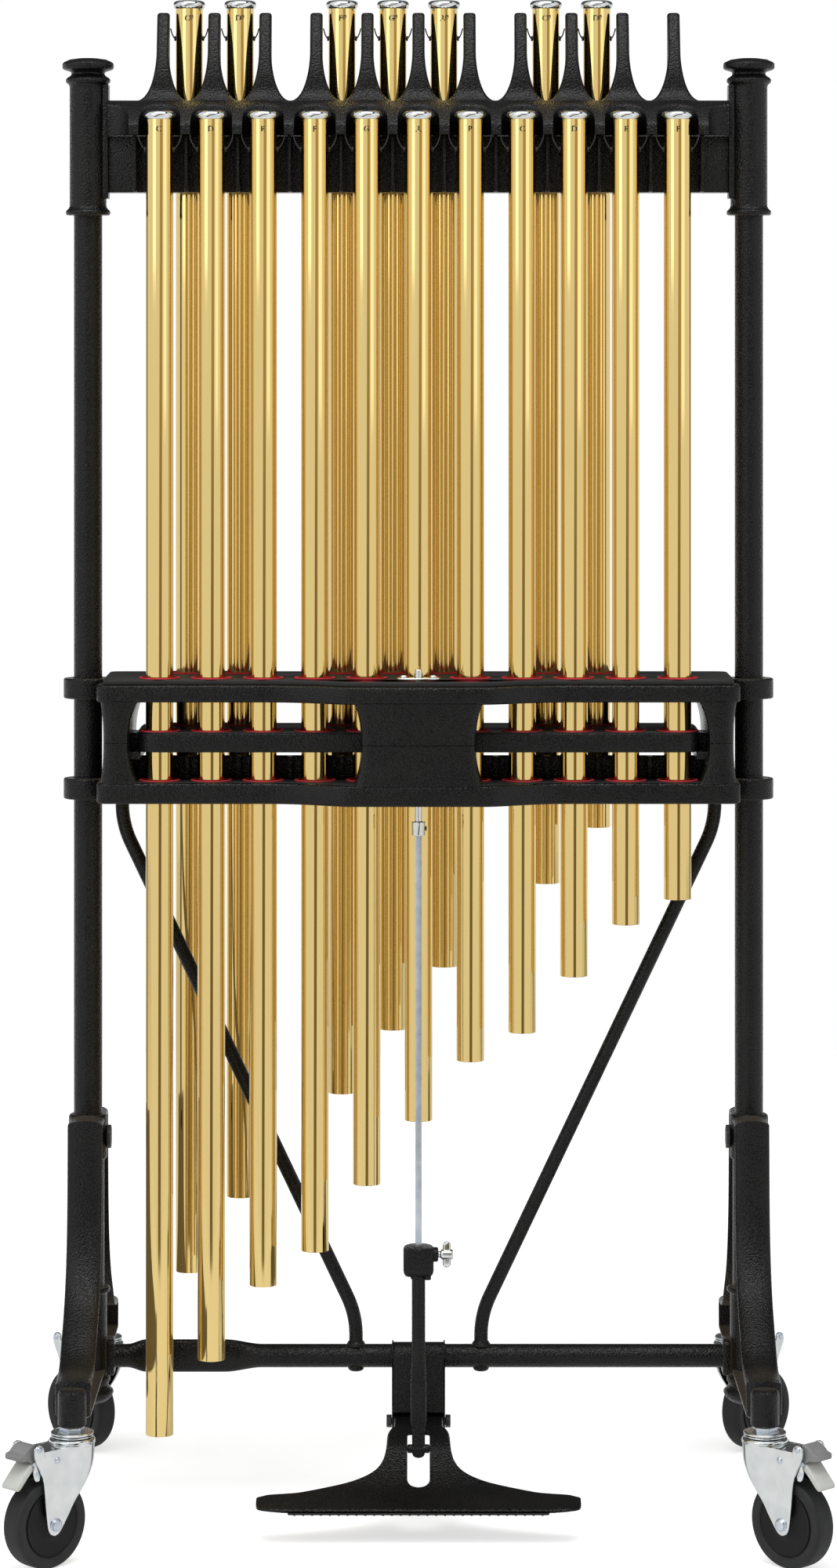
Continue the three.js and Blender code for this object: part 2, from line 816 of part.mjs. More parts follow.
// Plan of the damper box: a long plate with rounded corners that swells forward round the rod.
function boxPlan(inset) {
  const x = boxHalfLength - inset;
  const front = boxFront + inset;
  const back = boxBack - inset;
  const bulge = bulgeFront + inset;
  const wide = bulgeHalfWidth - inset;
  const start = wide + bulgeSpread;
  const pull = bulgeSpread / 2;
  const shape = new THREE.Shape();
  shape.moveTo(-x, back - boxCorner);
  shape.lineTo(-x, front + boxCorner);
  shape.quadraticCurveTo(-x, front, -x + boxCorner, front);
  shape.lineTo(-start, front);
  shape.bezierCurveTo(-start + pull, front, -wide - pull / 2, bulge, -wide, bulge);
  shape.lineTo(wide, bulge);
  shape.bezierCurveTo(wide + pull / 2, bulge, start - pull, front, start, front);
  shape.lineTo(x - boxCorner, front);
  shape.quadraticCurveTo(x, front, x, front + boxCorner);
  shape.lineTo(x, back - boxCorner);
  shape.quadraticCurveTo(x, back, x - boxCorner, back);
  shape.lineTo(-x + boxCorner, back);
  shape.quadraticCurveTo(-x, back, -x, back - boxCorner);
  return shape;
}

function tubeHoles(diameter, low, high, shiftY = 0) {
  const hole = disc(diameter, low, high, holeSides);
  return tubeSet.map((tube) => hole.clone().translate(tubePlace(tube).x, tubePlace(tube).y + shiftY, 0));
}

// Waisted outline of a wall, seen from the front, between a plate and the seam at half height.
function waisted(outer, inner, waist, plateZ, hollow = 0) {
  const bend = plateZ + (boxSeam - plateZ) * 0.4;
  return [
    [outer, plateZ],
    [inner, plateZ],
    [inner + waist * 0.72, bend],
    [inner + waist, boxSeam],
    [outer - hollow, boxSeam],
    [outer - hollow * 0.72, bend],
  ];
}

// End walls, front pillar and back pillar of one half of the box, from its plate to the seam.
function boxWalls(plateZ) {
  const outer = boxHalfLength - endWallInset;
  const end = waisted(outer, endWallInner, endWallWaist, plateZ, endWallHollow);
  const mirrored = end.map(([x, z]) => [-x, z]);
  const flank = waisted(0, pillarHalfWidth, -pillarWaist, plateZ);
  const pillar = [...flank.slice(1, 4), ...flank.slice(1, 4).reverse().map(([x, z]) => [-x, z])];
  const backHalf = backPillarHalfWidth;
  const backPillar = [
    [-backHalf, plateZ],
    [backHalf, plateZ],
    [backHalf, boxSeam],
    [-backHalf, boxSeam],
  ];
  const sideFront = boxFront + touchGap;
  const sideBack = boxBack - touchGap;
  return [
    frontal(end, sideFront, sideBack),
    frontal(mirrored, sideFront, sideBack),
    frontal(pillar, bulgeFront + touchGap, pillarInner),
    frontal(backPillar, backPillarInner, sideBack),
  ];
}

// Rings round the posts, which carry the box.
function postClamps(low, high) {
  const ring = disc(clampDiameter, low, high, postSides);
  return [ring.clone().translate(-postX, 0, 0), ring.clone().translate(postX, 0, 0)];
}

function postBores(low, high) {
  const bore = disc(postDiameter + 2 * touchGap, low - cutOverrun, high + cutOverrun, postSides);
  return [bore.clone().translate(-postX, 0, 0), bore.clone().translate(postX, 0, 0)];
}

function rodBore(low, high) {
  const bore = disc(rodDiameter + 2 * runningClearance, low - cutOverrun, high + cutOverrun, 10);
  return bore.translate(0, rodY, 0);
}

function divider() {
  const half = dividerThickness / 2;
  const end = endWallInner + endWallWaist;
  return block([-end, end], [-half, half], [boxFloor - touchGap, dividerHigh]);
}

function damperBoxLower() {
  const seam = boxSeam - touchGap;
  const body = joined(standing(boxPlan(0), boxLow, boxFloor), ...boxWalls(boxFloor), divider());
  const ledge = block(
    [ledgeInner, boxHalfLength - boxCorner],
    [-ledgeHalfLength, ledgeHalfLength],
    [damperPlateLow - touchGap - ledgeThickness, damperPlateLow - touchGap],
  );
  const full = body.add(joined(ledge, ledge.clone().rotateZ(Math.PI), ...postClamps(boxLow, boxFloor)));
  const above = block(
    [-postX, postX],
    [bulgeFront - cutOverrun, boxBack + cutOverrun],
    [seam, boxSeam + cutOverrun],
  );
  const holes = tubeHoles(damperHole, boxLow - cutOverrun, boxFloor + cutOverrun);
  return without(full, above, ...holes, ...postBores(boxLow, boxSeam), rodBore(boxLow, boxSeam));
}

function damperBoxUpper() {
  const body = joined(
    standing(boxPlan(0), boxCeiling, boxTop),
    standing(boxPlan(boxPanelInset), boxTop - touchGap, boxPanelTop),
    ...boxWalls(boxCeiling),
    ...postClamps(boxCeiling, boxTop + clampOver),
    ...tubeHoles(damperRim, boxPanelTop - touchGap, boxPanelTop + damperRimHeight),
  );
  const holes = tubeHoles(damperHole, boxCeiling - cutOverrun, boxPanelTop + cutOverrun);
  return without(body, ...holes, ...postBores(boxSeam, boxPanelTop), rodBore(boxSeam, boxPanelTop));
}

function roundedPlate(halfX, front, back, corner) {
  const shape = new THREE.Shape();
  shape.moveTo(-halfX, back - corner);
  shape.lineTo(-halfX, front + corner);
  shape.quadraticCurveTo(-halfX, front, -halfX + corner, front);
  shape.lineTo(halfX - corner, front);
  shape.quadraticCurveTo(halfX, front, halfX, front + corner);
  shape.lineTo(halfX, back - corner);
  shape.quadraticCurveTo(halfX, back, halfX - corner, back);
  shape.lineTo(-halfX + corner, back);
  shape.quadraticCurveTo(-halfX, back, -halfX, back - corner);
  return shape;
}

function damperPlate() {
  const plan = roundedPlate(damperPlateHalfLength, damperPlateFront, damperPlateBack, damperPlateCorner);
  const holes = tubeHoles(damperHole, damperPlateLow - cutOverrun, damperPlateHigh + cutOverrun, damperTravel);
  return without(joined(standing(plan, damperPlateLow, damperPlateHigh, 3)), ...holes);
}

function ovalPlan(halfX, halfY) {
  const shape = new THREE.Shape();
  shape.absellipse(0, 0, halfX, halfY, 0, 2 * Math.PI);
  return shape;
}

function rodGuide() {
  const low = boxPanelTop + touchGap;
  const high = low + guideThickness;
  const screwRadius = guideScrewDiameter / 2;
  const screw = turned(
    [
      [0, high - touchGap],
      [screwRadius, high - touchGap],
      [screwRadius * 0.75, high + guideScrewHeight * 0.75],
      [0, high + guideScrewHeight],
    ],
    10,
  );
  const body = joined(
    standing(ovalPlan(guideHalfLength, guideHalfWidth), low, high, 5),
    screw.clone().translate(-guideScrewOffset, 0, 0),
    screw.clone().translate(guideScrewOffset, 0, 0),
  );
  return without(body, rodBore(low, high).translate(0, -rodY, 0));
}

function damperRod() {
  const half = squareBar / 2;
  const bar = block([-half, half], [-half, half], [squareBarLow, collarLow + touchGap]);
  const collar = disc(collarDiameter, collarLow, collarLow + collarHeight, 12);
  const rod = disc(rodDiameter, collarLow + collarHeight - touchGap, rodTop, 10);
  return joined(bar, collar, rod);
}

function pushTube() {
  const halfX = blockWidth / 2;
  const halfFlat = pushFlatWidth / 2;
  const halfEnd = pushEndWidth / 2;
  const blockPlan = roundedPlate(halfX, -blockAhead, blockBehind, blockCorner);
  const clampBlock = standing(blockPlan, blockLow, blockLow + blockHeight, 3);
  const boss = crossPin(wingBossDiameter, halfX - touchGap, halfX + wingBossLength, 0, wingHeight, 10);
  const tube = disc(pushTubeDiameter, pushTubeFlatTop - touchGap, blockLow + touchGap, 12);
  const endTop = pushTip + pushEndLength;
  const flatSide = [
    [pushTubeDiameter / 2, pushTubeFlatTop],
    [halfFlat, pushTubeFlatTop - pushFlatWidth],
    [halfFlat, endTop + pushEndTaper],
    [halfEnd, endTop],
    [halfEnd, pushTip + halfEnd * 0.6],
    [halfEnd * 0.7, pushTip + halfEnd * 0.15],
  ];
  const mirrored = flatSide.slice().reverse().map(([x, z]) => [-x, z]);
  const flatOutline = [...flatSide, [0, pushTip], ...mirrored];
  const flat = frontal(flatOutline, -pushFlatThickness / 2, pushFlatThickness / 2);
  const pinHalf = pedalSlotWidth / 2 + pushPinReach;
  const pin = crossPin(pushPinDiameter, -pinHalf, pinHalf, 0, pushPinHeight, 10);
  const body = joined(clampBlock, boss, tube, flat, pin);
  const bore = disc(pushTubeBore, squareBarLow - cutOverrun, blockLow + blockHeight + cutOverrun, 12);
  const boltHole = wingShankDiameter + 2 * touchGap;
  const shankBore = crossPin(boltHole, 0, halfX + wingBossLength + cutOverrun, 0, wingHeight, 10);
  return without(body, bore, shankBore);
}

// Turns about X; its shank ends just short of the square bar, and its wings stand up and down.
function wingBolt() {
  const seat = blockWidth / 2 + wingBossLength + touchGap;
  const hubStart = seat + wingNeckLength;
  const shank = crossPin(wingShankDiameter, wingShankInner, hubStart + touchGap, 0, 0, 10);
  const hub = crossPin(wingHubDiameter, hubStart, hubStart + wingHubLength, 0, 0, 12);
  const middle = hubStart + wingHubLength / 2;
  const halfWidth = wingWidth / 2;
  const halfSpan = wingSpan / 2;
  const upper = [
    [middle + halfWidth, halfSpan * 0.72],
    [middle + halfWidth * 0.6, halfSpan * 0.95],
    [middle, halfSpan],
    [middle - halfWidth * 0.6, halfSpan * 0.95],
    [middle - halfWidth, halfSpan * 0.72],
  ];
  const lower = upper.slice().reverse().map(([x, z]) => [x, -z]);
  const wings = frontal([...upper, ...lower], -wingThickness / 2, wingThickness / 2);
  return joined(shank, hub, wings);
}

// Its end flanges bear on the post feet.
function crossbar() {
  const end = postX - footSleeveDiameter / 2 - touchGap;
  const bar = crossPin(crossbarDiameter, -end + touchGap, end - touchGap, 0, 0, 16);
  const slope = crossbarDiameter / 2;
  const halfFlange = crossbarFlangeTall / 2;
  const flat = [
    [-crossbarFlatOuter - slope, -crossbarDiameter / 2],
    [-crossbarFlatOuter, -crossbarFlatTall / 2],
    [-crossbarFlatInner, -crossbarFlatTall / 2],
    [-crossbarFlatInner + slope, -crossbarDiameter / 2],
    [-crossbarFlatInner + slope, crossbarDiameter / 2],
    [-crossbarFlatInner, crossbarFlatTall / 2],
    [-crossbarFlatOuter, crossbarFlatTall / 2],
    [-crossbarFlatOuter - slope, crossbarDiameter / 2],
  ];
  const half = crossbarFlatThick / 2;
  const flange = block(
    [end - crossbarFlangeThick, end],
    [-crossbarFlangeDeep / 2, crossbarFlangeDeep / 2],
    [-halfFlange, halfFlange],
  );
  const pressed = [
    [-crossbarFlatOuter, -crossbarFlatInner],
    [half, crossbarDiameter],
    [-crossbarDiameter, crossbarDiameter],
  ];
  const front = [pressed[0], [-crossbarDiameter, -half], pressed[2]];
  const squeezed = without(joined(bar), block(...pressed), block(...front));
  return squeezed.add(joined(frontal(flat, -half, half), flange, flange.clone().rotateZ(Math.PI)));
}

// Right-hand brace; the left one is its mirror image.
function braceRoute() {
  const foot = new THREE.Vector3(braceFootX, 0, crossbarHeight + crossbarDiameter / 2 + touchGap);
  const knee = new THREE.Vector3(braceFootX, 0, braceFootKnee);
  const shoulder = new THREE.Vector3(braceHeadX, 0, braceHeadKnee);
  const head = new THREE.Vector3(braceHeadX, 0, boxLow - touchGap);
  const along = shoulder.clone().sub(knee).normalize();
  const points = [foot];
  [knee, shoulder].forEach((corner, index) => {
    const into = index === 0 ? new THREE.Vector3(0, 0, 1) : along;
    const out = index === 0 ? along : new THREE.Vector3(0, 0, 1);
    const start = corner.clone().addScaledVector(into, -braceBend);
    const finish = corner.clone().addScaledVector(out, braceBend);
    const bend = new THREE.QuadraticBezierCurve3(start, corner, finish);
    points.push(...bend.getPoints(4));
  });
  points.push(head);
  return points;
}

function brace() {
  const low = crossbarHeight + crossbarDiameter / 2 + touchGap;
  const collar = disc(braceCollarDiameter, low, low + braceCollarHeight, 12);
  return joined(pipe(braceRoute(), braceDiameter, 12), collar.translate(braceFootX, 0, 0));
}

// Moves each edge of a closed outline inward by a distance and meets the neighbours again.
function insetOutline(points, distance) {
  const count = points.length;
  const area = points.reduce((sum, [x, y], i) => {
    const [nextX, nextY] = points[(i + 1) % count];
    return sum + x * nextY - nextX * y;
  }, 0);
  const turn = Math.sign(area);
  const edges = points.map(([x, y], i) => {
    const [nextX, nextY] = points[(i + 1) % count];
    const length = Math.hypot(nextX - x, nextY - y);
    const along = [(nextX - x) / length, (nextY - y) / length];
    const inward = [-along[1] * turn, along[0] * turn];
    return { from: [x + inward[0] * distance, y + inward[1] * distance], along };
  });
  return edges.map((edge, i) => {
    const before = edges[(i + count - 1) % count];
    const cross = before.along[0] * edge.along[1] - before.along[1] * edge.along[0];
    const gapX = edge.from[0] - before.from[0];
    const gapY = edge.from[1] - before.from[1];
    const t = (gapX * edge.along[1] - gapY * edge.along[0]) / cross;
    return [before.from[0] + before.along[0] * t, before.from[1] + before.along[1] * t];
  });
}

// Casting in its own frame: the post axis is Z, and the two ends reach forward and back.
function leg() {
  const half = legOutlineShares.map(([reach, rise]) => [reach * legReach, legLow + rise * (legHigh - legLow)]);
  const outline = [...half, ...half.slice().reverse().map(([y, z]) => [-y, z])];
  const pocket = insetOutline(outline, legFlangeThick);
  const flange = legFlangeWidth / 2;
  const web = legWeb / 2;
  const body = without(
    joined(sideways(outline, -flange, flange)),
    sideways(pocket, web, flange + cutOverrun),
    sideways(pocket, -flange - cutOverrun, -web),
  );
  const sleeve = disc(stemSleeveDiameter, stemSleeveLow, stemSleeveHigh, 16);
  const bosses = joined(
    disc(legBossDiameter, footSleeveHigh, legHigh - touchGap, postSides),
    disc(legHubDiameter, legHubLow, legHigh - touchGap, postSides),
    sleeve.clone().translate(0, -legReach, 0),
    sleeve.clone().translate(0, legReach, 0),
  );
  const stemBore = disc(stemDiameter + 2 * touchGap, stemSleeveLow - cutOverrun, stemTop + touchGap, 8);
  return without(
    body.add(bosses),
    disc(postDiameter + 2 * touchGap, footSleeveLow, legHigh + cutOverrun, postSides),
    disc(footRingDiameter + 2 * touchGap, legLow - cutOverrun, footSleeveHigh + touchGap, postSides),
    stemBore.clone().translate(0, -legReach, 0),
    stemBore.clone().translate(0, legReach, 0),
  );
}

// Bore for the clamp bolt, on the side of the hub that faces the other leg.
function hubBoltSeat(inward) {
  const radius = legHubDiameter / 2;
  const inner = postDiameter / 2 + 2 * touchGap;
  const bore = disc(hubBoltShank + 2 * touchGap, inner, radius + cutOverrun, 10);
  return bore.rotateY((inward * Math.PI) / 2).translate(0, 0, hubBoltHeight);
}

function hubBolt(inward) {
  const radius = legHubDiameter / 2;
  const inner = postDiameter / 2 + 2 * touchGap;
  const head = hexBar(hubBoltAcross, radius + touchGap, radius + touchGap + hubBoltProud);
  const shank = disc(hubBoltShank, inner, radius + 2 * touchGap, 10);
  return joined(
    head.rotateY((inward * Math.PI) / 2),
    shank.rotateY((inward * Math.PI) / 2),
  );
}

function postFoot() {
  const seat = postDiameter / 2 + touchGap;
  const sleeve = footSleeveDiameter / 2;
  const ring = footRingDiameter / 2;
  const bell = bellDiameter / 2;
  const profile = [
    [0, bellLow],
    [bell * 0.68, bellLow + bellRim * 0.15],
    [bell * 0.95, bellLow + bellRim * 0.7],
    [bell, bellLow + bellRim],
    [ring, footSleeveLow - footRingHeight / 2],
    [ring, footSleeveLow + footRingHeight / 2],
    [sleeve, footSleeveLow + footRingHeight / 2],
    [sleeve, footSleeveHigh - footRingHeight],
    [ring, footSleeveHigh - footRingHeight],
    [ring, footSleeveHigh],
    [seat, footSleeveHigh],
    [seat, postLow - touchGap],
    [0, postLow - touchGap],
  ];
  return joined(turned(profile, postSides));
}

// Folded sheet over the crossbar, with a cheek at either side for the pivot.
function pedalBracket() {
  const inner = crossbarDiameter / 2 + touchGap;
  const outer = inner + bracketSheet;
  const arch = [];
  for (let step = 0; step <= 8; step += 1) {
    const angle = (Math.PI * step) / 8;
    arch.push([Math.cos(angle), Math.sin(angle)]);
  }
  const outside = arch.map(([c, s]) => [outer * c, crossbarHeight + outer * s]);
  const inside = arch.map(([c, s]) => [inner * c, crossbarHeight + inner * s]).reverse();
  const saddle = [
    [outer, bracketCheekLow],
    ...outside,
    [-outer, bracketFrontLow],
    [-inner, bracketFrontLow],
    ...inside,
    [inner, bracketCheekLow],
  ];
  const cheekTop = crossbarHeight - inner;
  const cheek = [
    [-outer, bracketFrontLow],
    [-pivotHeadDiameter, bracketCheekLow],
    [outer, bracketCheekLow],
    [outer, cheekTop],
    [-outer, cheekTop],
  ];
  const width = bracketHalfWidth;
  const body = joined(
    sideways(saddle, -width, width),
    sideways(cheek, width - bracketSheet, width),
    sideways(cheek, -width, -width + bracketSheet),
  );
  const boreDiameter = pivotDiameter + 2 * touchGap;
  return without(body, crossPin(boreDiameter, -width - cutOverrun, width + cutOverrun, 0, pivotHeight, 10));
}

function pedalPivot() {
  const seat = bracketHalfWidth + touchGap;
  const end = seat + pivotHeadLength;
  const head = hexBar(pivotHeadDiameter, seat, end).rotateY(Math.PI / 2);
  return joined(
    crossPin(pivotDiameter, -seat - touchGap, seat + touchGap, 0, 0, 10),
    head,
    head.clone().rotateZ(Math.PI),
  );
}

// Seen from above: a neck that flares into a wide tread.
function pedalPlan() {
  const flare = pedalFlareShares.map(([reach, share]) => [
    pedalNeckHalf + share * (pedalHalfWidth - pedalNeckHalf),
    -reach * pedalReach,
  ]);
  const right = [[pedalNeckHalf, pedalNeckBack], ...flare];
  const left = right.slice().reverse().map(([x, y]) => [-x, y]);
  return shapeOf([...right, ...left]);
}

function pedalSide() {
  const top = pedalSideShares.map(([reach, high]) => [-reach * pedalReach, high * pivotHeight]);
  const under = pedalSideShares.map(([reach, , low]) => [-reach * pedalReach, low * pivotHeight]);
  return [[-pedalHubDiameter / 2, pivotHeight + pedalHubDiameter / 4], ...top, ...under.reverse()];
}

// Casting whose plan and side are both followed, with a hub between the bracket's cheeks.
function pedal() {
  const plan = standing(pedalPlan(), 0, pivotHeight + pedalHubDiameter);
  const hubHalf = bracketHalfWidth - bracketSheet - touchGap;
  const web = pedalSide();
  web.push([0, pivotHeight - pedalHubDiameter / 2]);
  const flared = solidOf(sideways(web, -pedalHalfWidth, pedalHalfWidth)).intersect(solidOf(plan));
  const neck = sideways(web, -hubHalf, hubHalf);
  const hub = crossPin(pedalHubDiameter, -hubHalf, hubHalf, 0, pivotHeight, 12);
  const body = flared.add(solidOf(neck)).add(solidOf(hub));
  const slotHalf = pedalSlotWidth / 2;
  const slotTop = pivotHeight + pedalHubDiameter;
  const slotRound = pedalSlotFront + slotHalf;
  const slot = block([-slotHalf, slotHalf], [slotRound, pedalSlotBack], [0, slotTop]);
  const slotEnd = disc(pedalSlotWidth, 0, slotTop, 16).translate(0, slotRound, 0);
  const pocketHalf = slotHalf + pushPinReach + runningClearance;
  const pocketY = rodY - pushPinDiameter / 2 - pedalPocketPlay;
  const pocket = block(
    [-pocketHalf, pocketHalf],
    [pocketY, rodY + pushPinDiameter / 2 + runningClearance],
    [pushPinHeight - pushPinDiameter / 2 - runningClearance, pushPinHeight + pushPinDiameter / 2 + 2 * runningClearance],
  );
  const bore = crossPin(pivotDiameter + 2 * runningClearance, -pedalHalfWidth, pedalHalfWidth, 0, pivotHeight, 12);
  return without(body, slot, slotEnd, pocket, bore);
}

function pedalTread() {
  const [reach, , low] = pedalSideShares[pedalSideShares.length - 2];
  const top = low * pivotHeight - touchGap;
  const back = -reach * pedalReach + treadDepth;
  return joined(
    block([-treadHalfWidth, treadHalfWidth], [back - treadDepth, back], [top - treadThickness, top]),
  );
}

function casterStem() {
  return joined(
    disc(racewayDiameter, racewayLow, stemNutLow + touchGap, 12),
    hexBar(stemNutAcross, stemNutLow, stemNutHigh),
    disc(stemDiameter, stemNutHigh - touchGap, stemTop, 8),
  );
}

// Fork in the caster's frame: the stem is Z, +X is the trailing side, and the axle lies along Y.
function casterFork() {
  const crownTop = racewayLow - touchGap;
  const crownLow = crownTop - crownThickness;
  const plateLow = crownLow - forkPlateThick;
  const inner = wheelHubWidth / 2 + touchGap;
  const outer = inner + forkSheet;
  const points = cheekShares.map(([x, z]) => [x * casterTrail, axleHeight + z * (crownLow - axleHeight)]);
  const axle = crossPin(axleDiameter, -outer - axleProud, outer + axleProud, -casterTrail, axleHeight, 8);
  return joined(
    disc(crownDiameter, crownLow - touchGap, crownTop, 12),
    block([points[0][0], points[1][0]], [-outer, outer], [plateLow, crownLow]),
    frontal(points, inner, outer),
    frontal(points, -outer, -inner),
    axle.rotateZ(Math.PI / 2),
  );
}

// Its flats touch the round of the tread, and one of them lies on the floor.
function casterWheel() {
  const bore = axleDiameter / 2 + touchGap;
  const hub = wheelHubDiameter / 2;
  const rim = wheelDiscDiameter / 2;
  const halfSide = Math.PI / wheelSides;
  const tread = wheelDiameter / 2 / Math.cos(halfSide);
  const side = wheelWidth / 2;
  const hubSide = wheelHubWidth / 2;
  const profile = [
    [bore, -hubSide],
    [hub, -hubSide],
    [rim, -side + wheelDiscInset],
    [tread - wheelShoulder, -side],
    [tread, -side + wheelShoulder],
    [tread, side - wheelShoulder],
    [tread - wheelShoulder, side],
    [rim, side - wheelDiscInset],
    [hub, hubSide],
    [bore, hubSide],
    [bore, -hubSide],
  ];
  return joined(turned(profile, wheelSides).rotateZ(halfSide).rotateX(Math.PI / 2));
}

// A bent strip seen from the side: its centre line, thickened downward.
function stripOutline(points, thickness) {
  return [...points, ...points.slice().reverse().map(([x, z]) => [x, z - thickness])];
}

// Point of the brake pedal's top line at a share of its reach.
function brakeTop(share) {
  const after = brakePedalShares.findIndex(([x], i) => i > 0 && x >= share);
  const [x0, z0] = brakePedalShares[after - 1];
  const [x1, z1] = brakePedalShares[after];
  const z = z0 + ((z1 - z0) * (share - x0)) / (x1 - x0);
  return [brakePivotX + share * brakeReach, brakePivotZ + brakeThickness / 2 + z * brakeDrop];
}

function brakePedal() {
  const points = brakePedalShares.map(([x]) => brakeTop(x));
  const pin = disc(brakePivotDiameter, -wheelHubWidth / 2, wheelHubWidth / 2, 12).rotateX(Math.PI / 2);
  return joined(
    frontal(stripOutline(points, brakeThickness), -brakeHalfWidth, brakeHalfWidth),
    pin.translate(brakePivotX, 0, brakePivotZ),
  );
}

function brakeLever() {
  const foot = brakeLeverFootShares.map((share) => {
    const [x, z] = brakeTop(share);
    return [x, z + touchGap];
  });
  const head = brakeLeverShares.map(([x, z]) => [
    brakePivotX + x * brakeReach,
    brakePivotZ + z * brakeLeverRise,
  ]);
  return joined(frontal([...foot, ...head], -brakeHalfWidth, brakeHalfWidth));
}

function addTubes(group) {
  tubeSet.forEach((tube) => {
    const { x, y } = tubePlace(tube);
    place(group, `tube_${tube.note}`, chimeTube(tube), brass, [x, y, 0]);
  });
}

function addRail(group) {
  place(group, "comb_rail", combRail(), black);
  place(group, "rail_panel", railPanel(), black);
}

function addDamper(group) {
  place(group, "damper_box_lower", damperBoxLower(), black);
  place(group, "damper_box_upper", damperBoxUpper(), black);
  place(group, "damper_plate", damperPlate(), blackPlastic);
  place(group, "rod_guide", rodGuide(), chrome, [0, rodY, 0]);
  place(group, "damper_rod", damperRod(), zinc, [0, rodY, 0]);
  place(group, "push_tube", pushTube(), black, [0, rodY, 0]);
  place(group, "wing_bolt", wingBolt(), chrome, [0, rodY, wingHeight]);
}

function addStand(group) {
  [
    ["left", -1],
    ["right", 1],
  ].forEach(([side, sign]) => {
    const x = sign * postX;
    place(group, `post_${side}`, post(), black, [x, 0, 0]);
    place(group, `post_head_${side}`, postHead(-sign), black, [x, 0, 0]);
    place(group, `post_foot_${side}`, postFoot(), black, [x, 0, 0]);
    place(group, `leg_${side}`, without(leg(), hubBoltSeat(-sign)), black, [x, 0, 0]);
    place(group, `hub_bolt_${side}`, hubBolt(-sign), zinc, [x, 0, hubBoltHeight]);
    const strut = place(group, `brace_${side}`, brace(), black);
    strut.rotation.z = sign > 0 ? 0 : Math.PI;
  });
  place(group, "crossbar", crossbar(), black, [0, 0, crossbarHeight]);
}

function addPedal(group) {
  place(group, "pedal_bracket", pedalBracket(), black);
  place(group, "pedal_pivot", pedalPivot(), zinc, [0, 0, pivotHeight]);
  place(group, "pedal", pedal(), black);
  place(group, "pedal_tread", pedalTread(), rubber);
}

// Each caster stands in a group at its stem, turned so that it trails outward.
function addCaster(group, corner, signX, signY, braked) {
  const caster = new THREE.Group();
  caster.position.set(signX * postX, signY * legReach, 0);
  caster.rotation.z = Math.atan2(signY, signX);
  group.add(caster);
  place(caster, `caster_stem_${corner}`, casterStem(), zinc);
  place(caster, `caster_fork_${corner}`, casterFork(), chrome);
  place(caster, `caster_wheel_${corner}`, casterWheel(), rubber, [casterTrail, 0, axleHeight]);
  if (braked) {
    place(caster, `brake_pedal_${corner}`, brakePedal(), lightGrey);
    place(caster, `brake_lever_${corner}`, brakeLever(), darkGrey);
  }
}

const chimes = new THREE.Group();
addStand(chimes);
addRail(chimes);
addDamper(chimes);
addPedal(chimes);
addTubes(chimes);
addCaster(chimes, "front_left", -1, -1, true);
addCaster(chimes, "front_right", 1, -1, true);
addCaster(chimes, "back_left", -1, 1, false);
addCaster(chimes, "back_right", 1, 1, false);

export default chimes;
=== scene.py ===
import math
from functools import partial

import bmesh
import bpy
import numpy as np
from mathutils import Matrix, Vector


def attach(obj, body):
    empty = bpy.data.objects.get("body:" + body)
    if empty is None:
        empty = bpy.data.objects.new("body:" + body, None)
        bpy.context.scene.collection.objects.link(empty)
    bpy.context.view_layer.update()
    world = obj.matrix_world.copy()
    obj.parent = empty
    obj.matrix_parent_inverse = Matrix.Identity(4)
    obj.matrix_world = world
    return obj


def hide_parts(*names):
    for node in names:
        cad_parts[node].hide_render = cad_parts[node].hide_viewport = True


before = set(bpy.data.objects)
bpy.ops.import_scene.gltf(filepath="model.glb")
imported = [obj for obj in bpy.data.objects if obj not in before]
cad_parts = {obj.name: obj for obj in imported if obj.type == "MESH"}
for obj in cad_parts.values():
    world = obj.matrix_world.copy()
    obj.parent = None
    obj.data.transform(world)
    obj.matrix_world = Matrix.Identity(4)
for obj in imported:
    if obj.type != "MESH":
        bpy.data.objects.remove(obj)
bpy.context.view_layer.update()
mm = 0.001  # every size below is in millimetres


def grid(points, loopRows=False, loopRing=True, caps=False):
    # quads between each row of points and the next; a ring closes on itself, and caps close the two ends
    rows, ring = points.shape[:2]
    index = np.arange(rows * ring).reshape(rows, ring)
    here = index if loopRows else index[:-1]
    after = np.roll(index, -1, axis=0) if loopRows else index[1:]
    if loopRing:
        corners = (here, np.roll(here, -1, axis=1), np.roll(after, -1, axis=1), after)
    else:
        corners = (here[:, :-1], here[:, 1:], after[:, 1:], after[:, :-1])
    faces = np.stack(corners, axis=-1).reshape(-1, 4).tolist()
    if caps:
        faces += [index[0][::-1].tolist(), index[-1].tolist()]
    return points.reshape(-1, 3), faces


def moved(part, offset=(0, 0, 0), spin=0.0):
    # part turned about Z by spin, then shifted
    verts, faces = part
    c, s = math.cos(spin), math.sin(spin)
    turn = np.array([[c, s, 0], [-s, c, 0], [0, 0, 1]])
    return verts @ turn + np.array(offset, float), faces


def axisFrame(axis):
    # two unit vectors square to the axis, and the axis itself
    w = np.array(axis, float)
    w /= np.linalg.norm(w)
    u = np.cross([0, 0, 1] if abs(w[2]) < 0.9 else [1, 0, 0], w)
    u /= np.linalg.norm(u)
    return u, np.cross(w, u), w


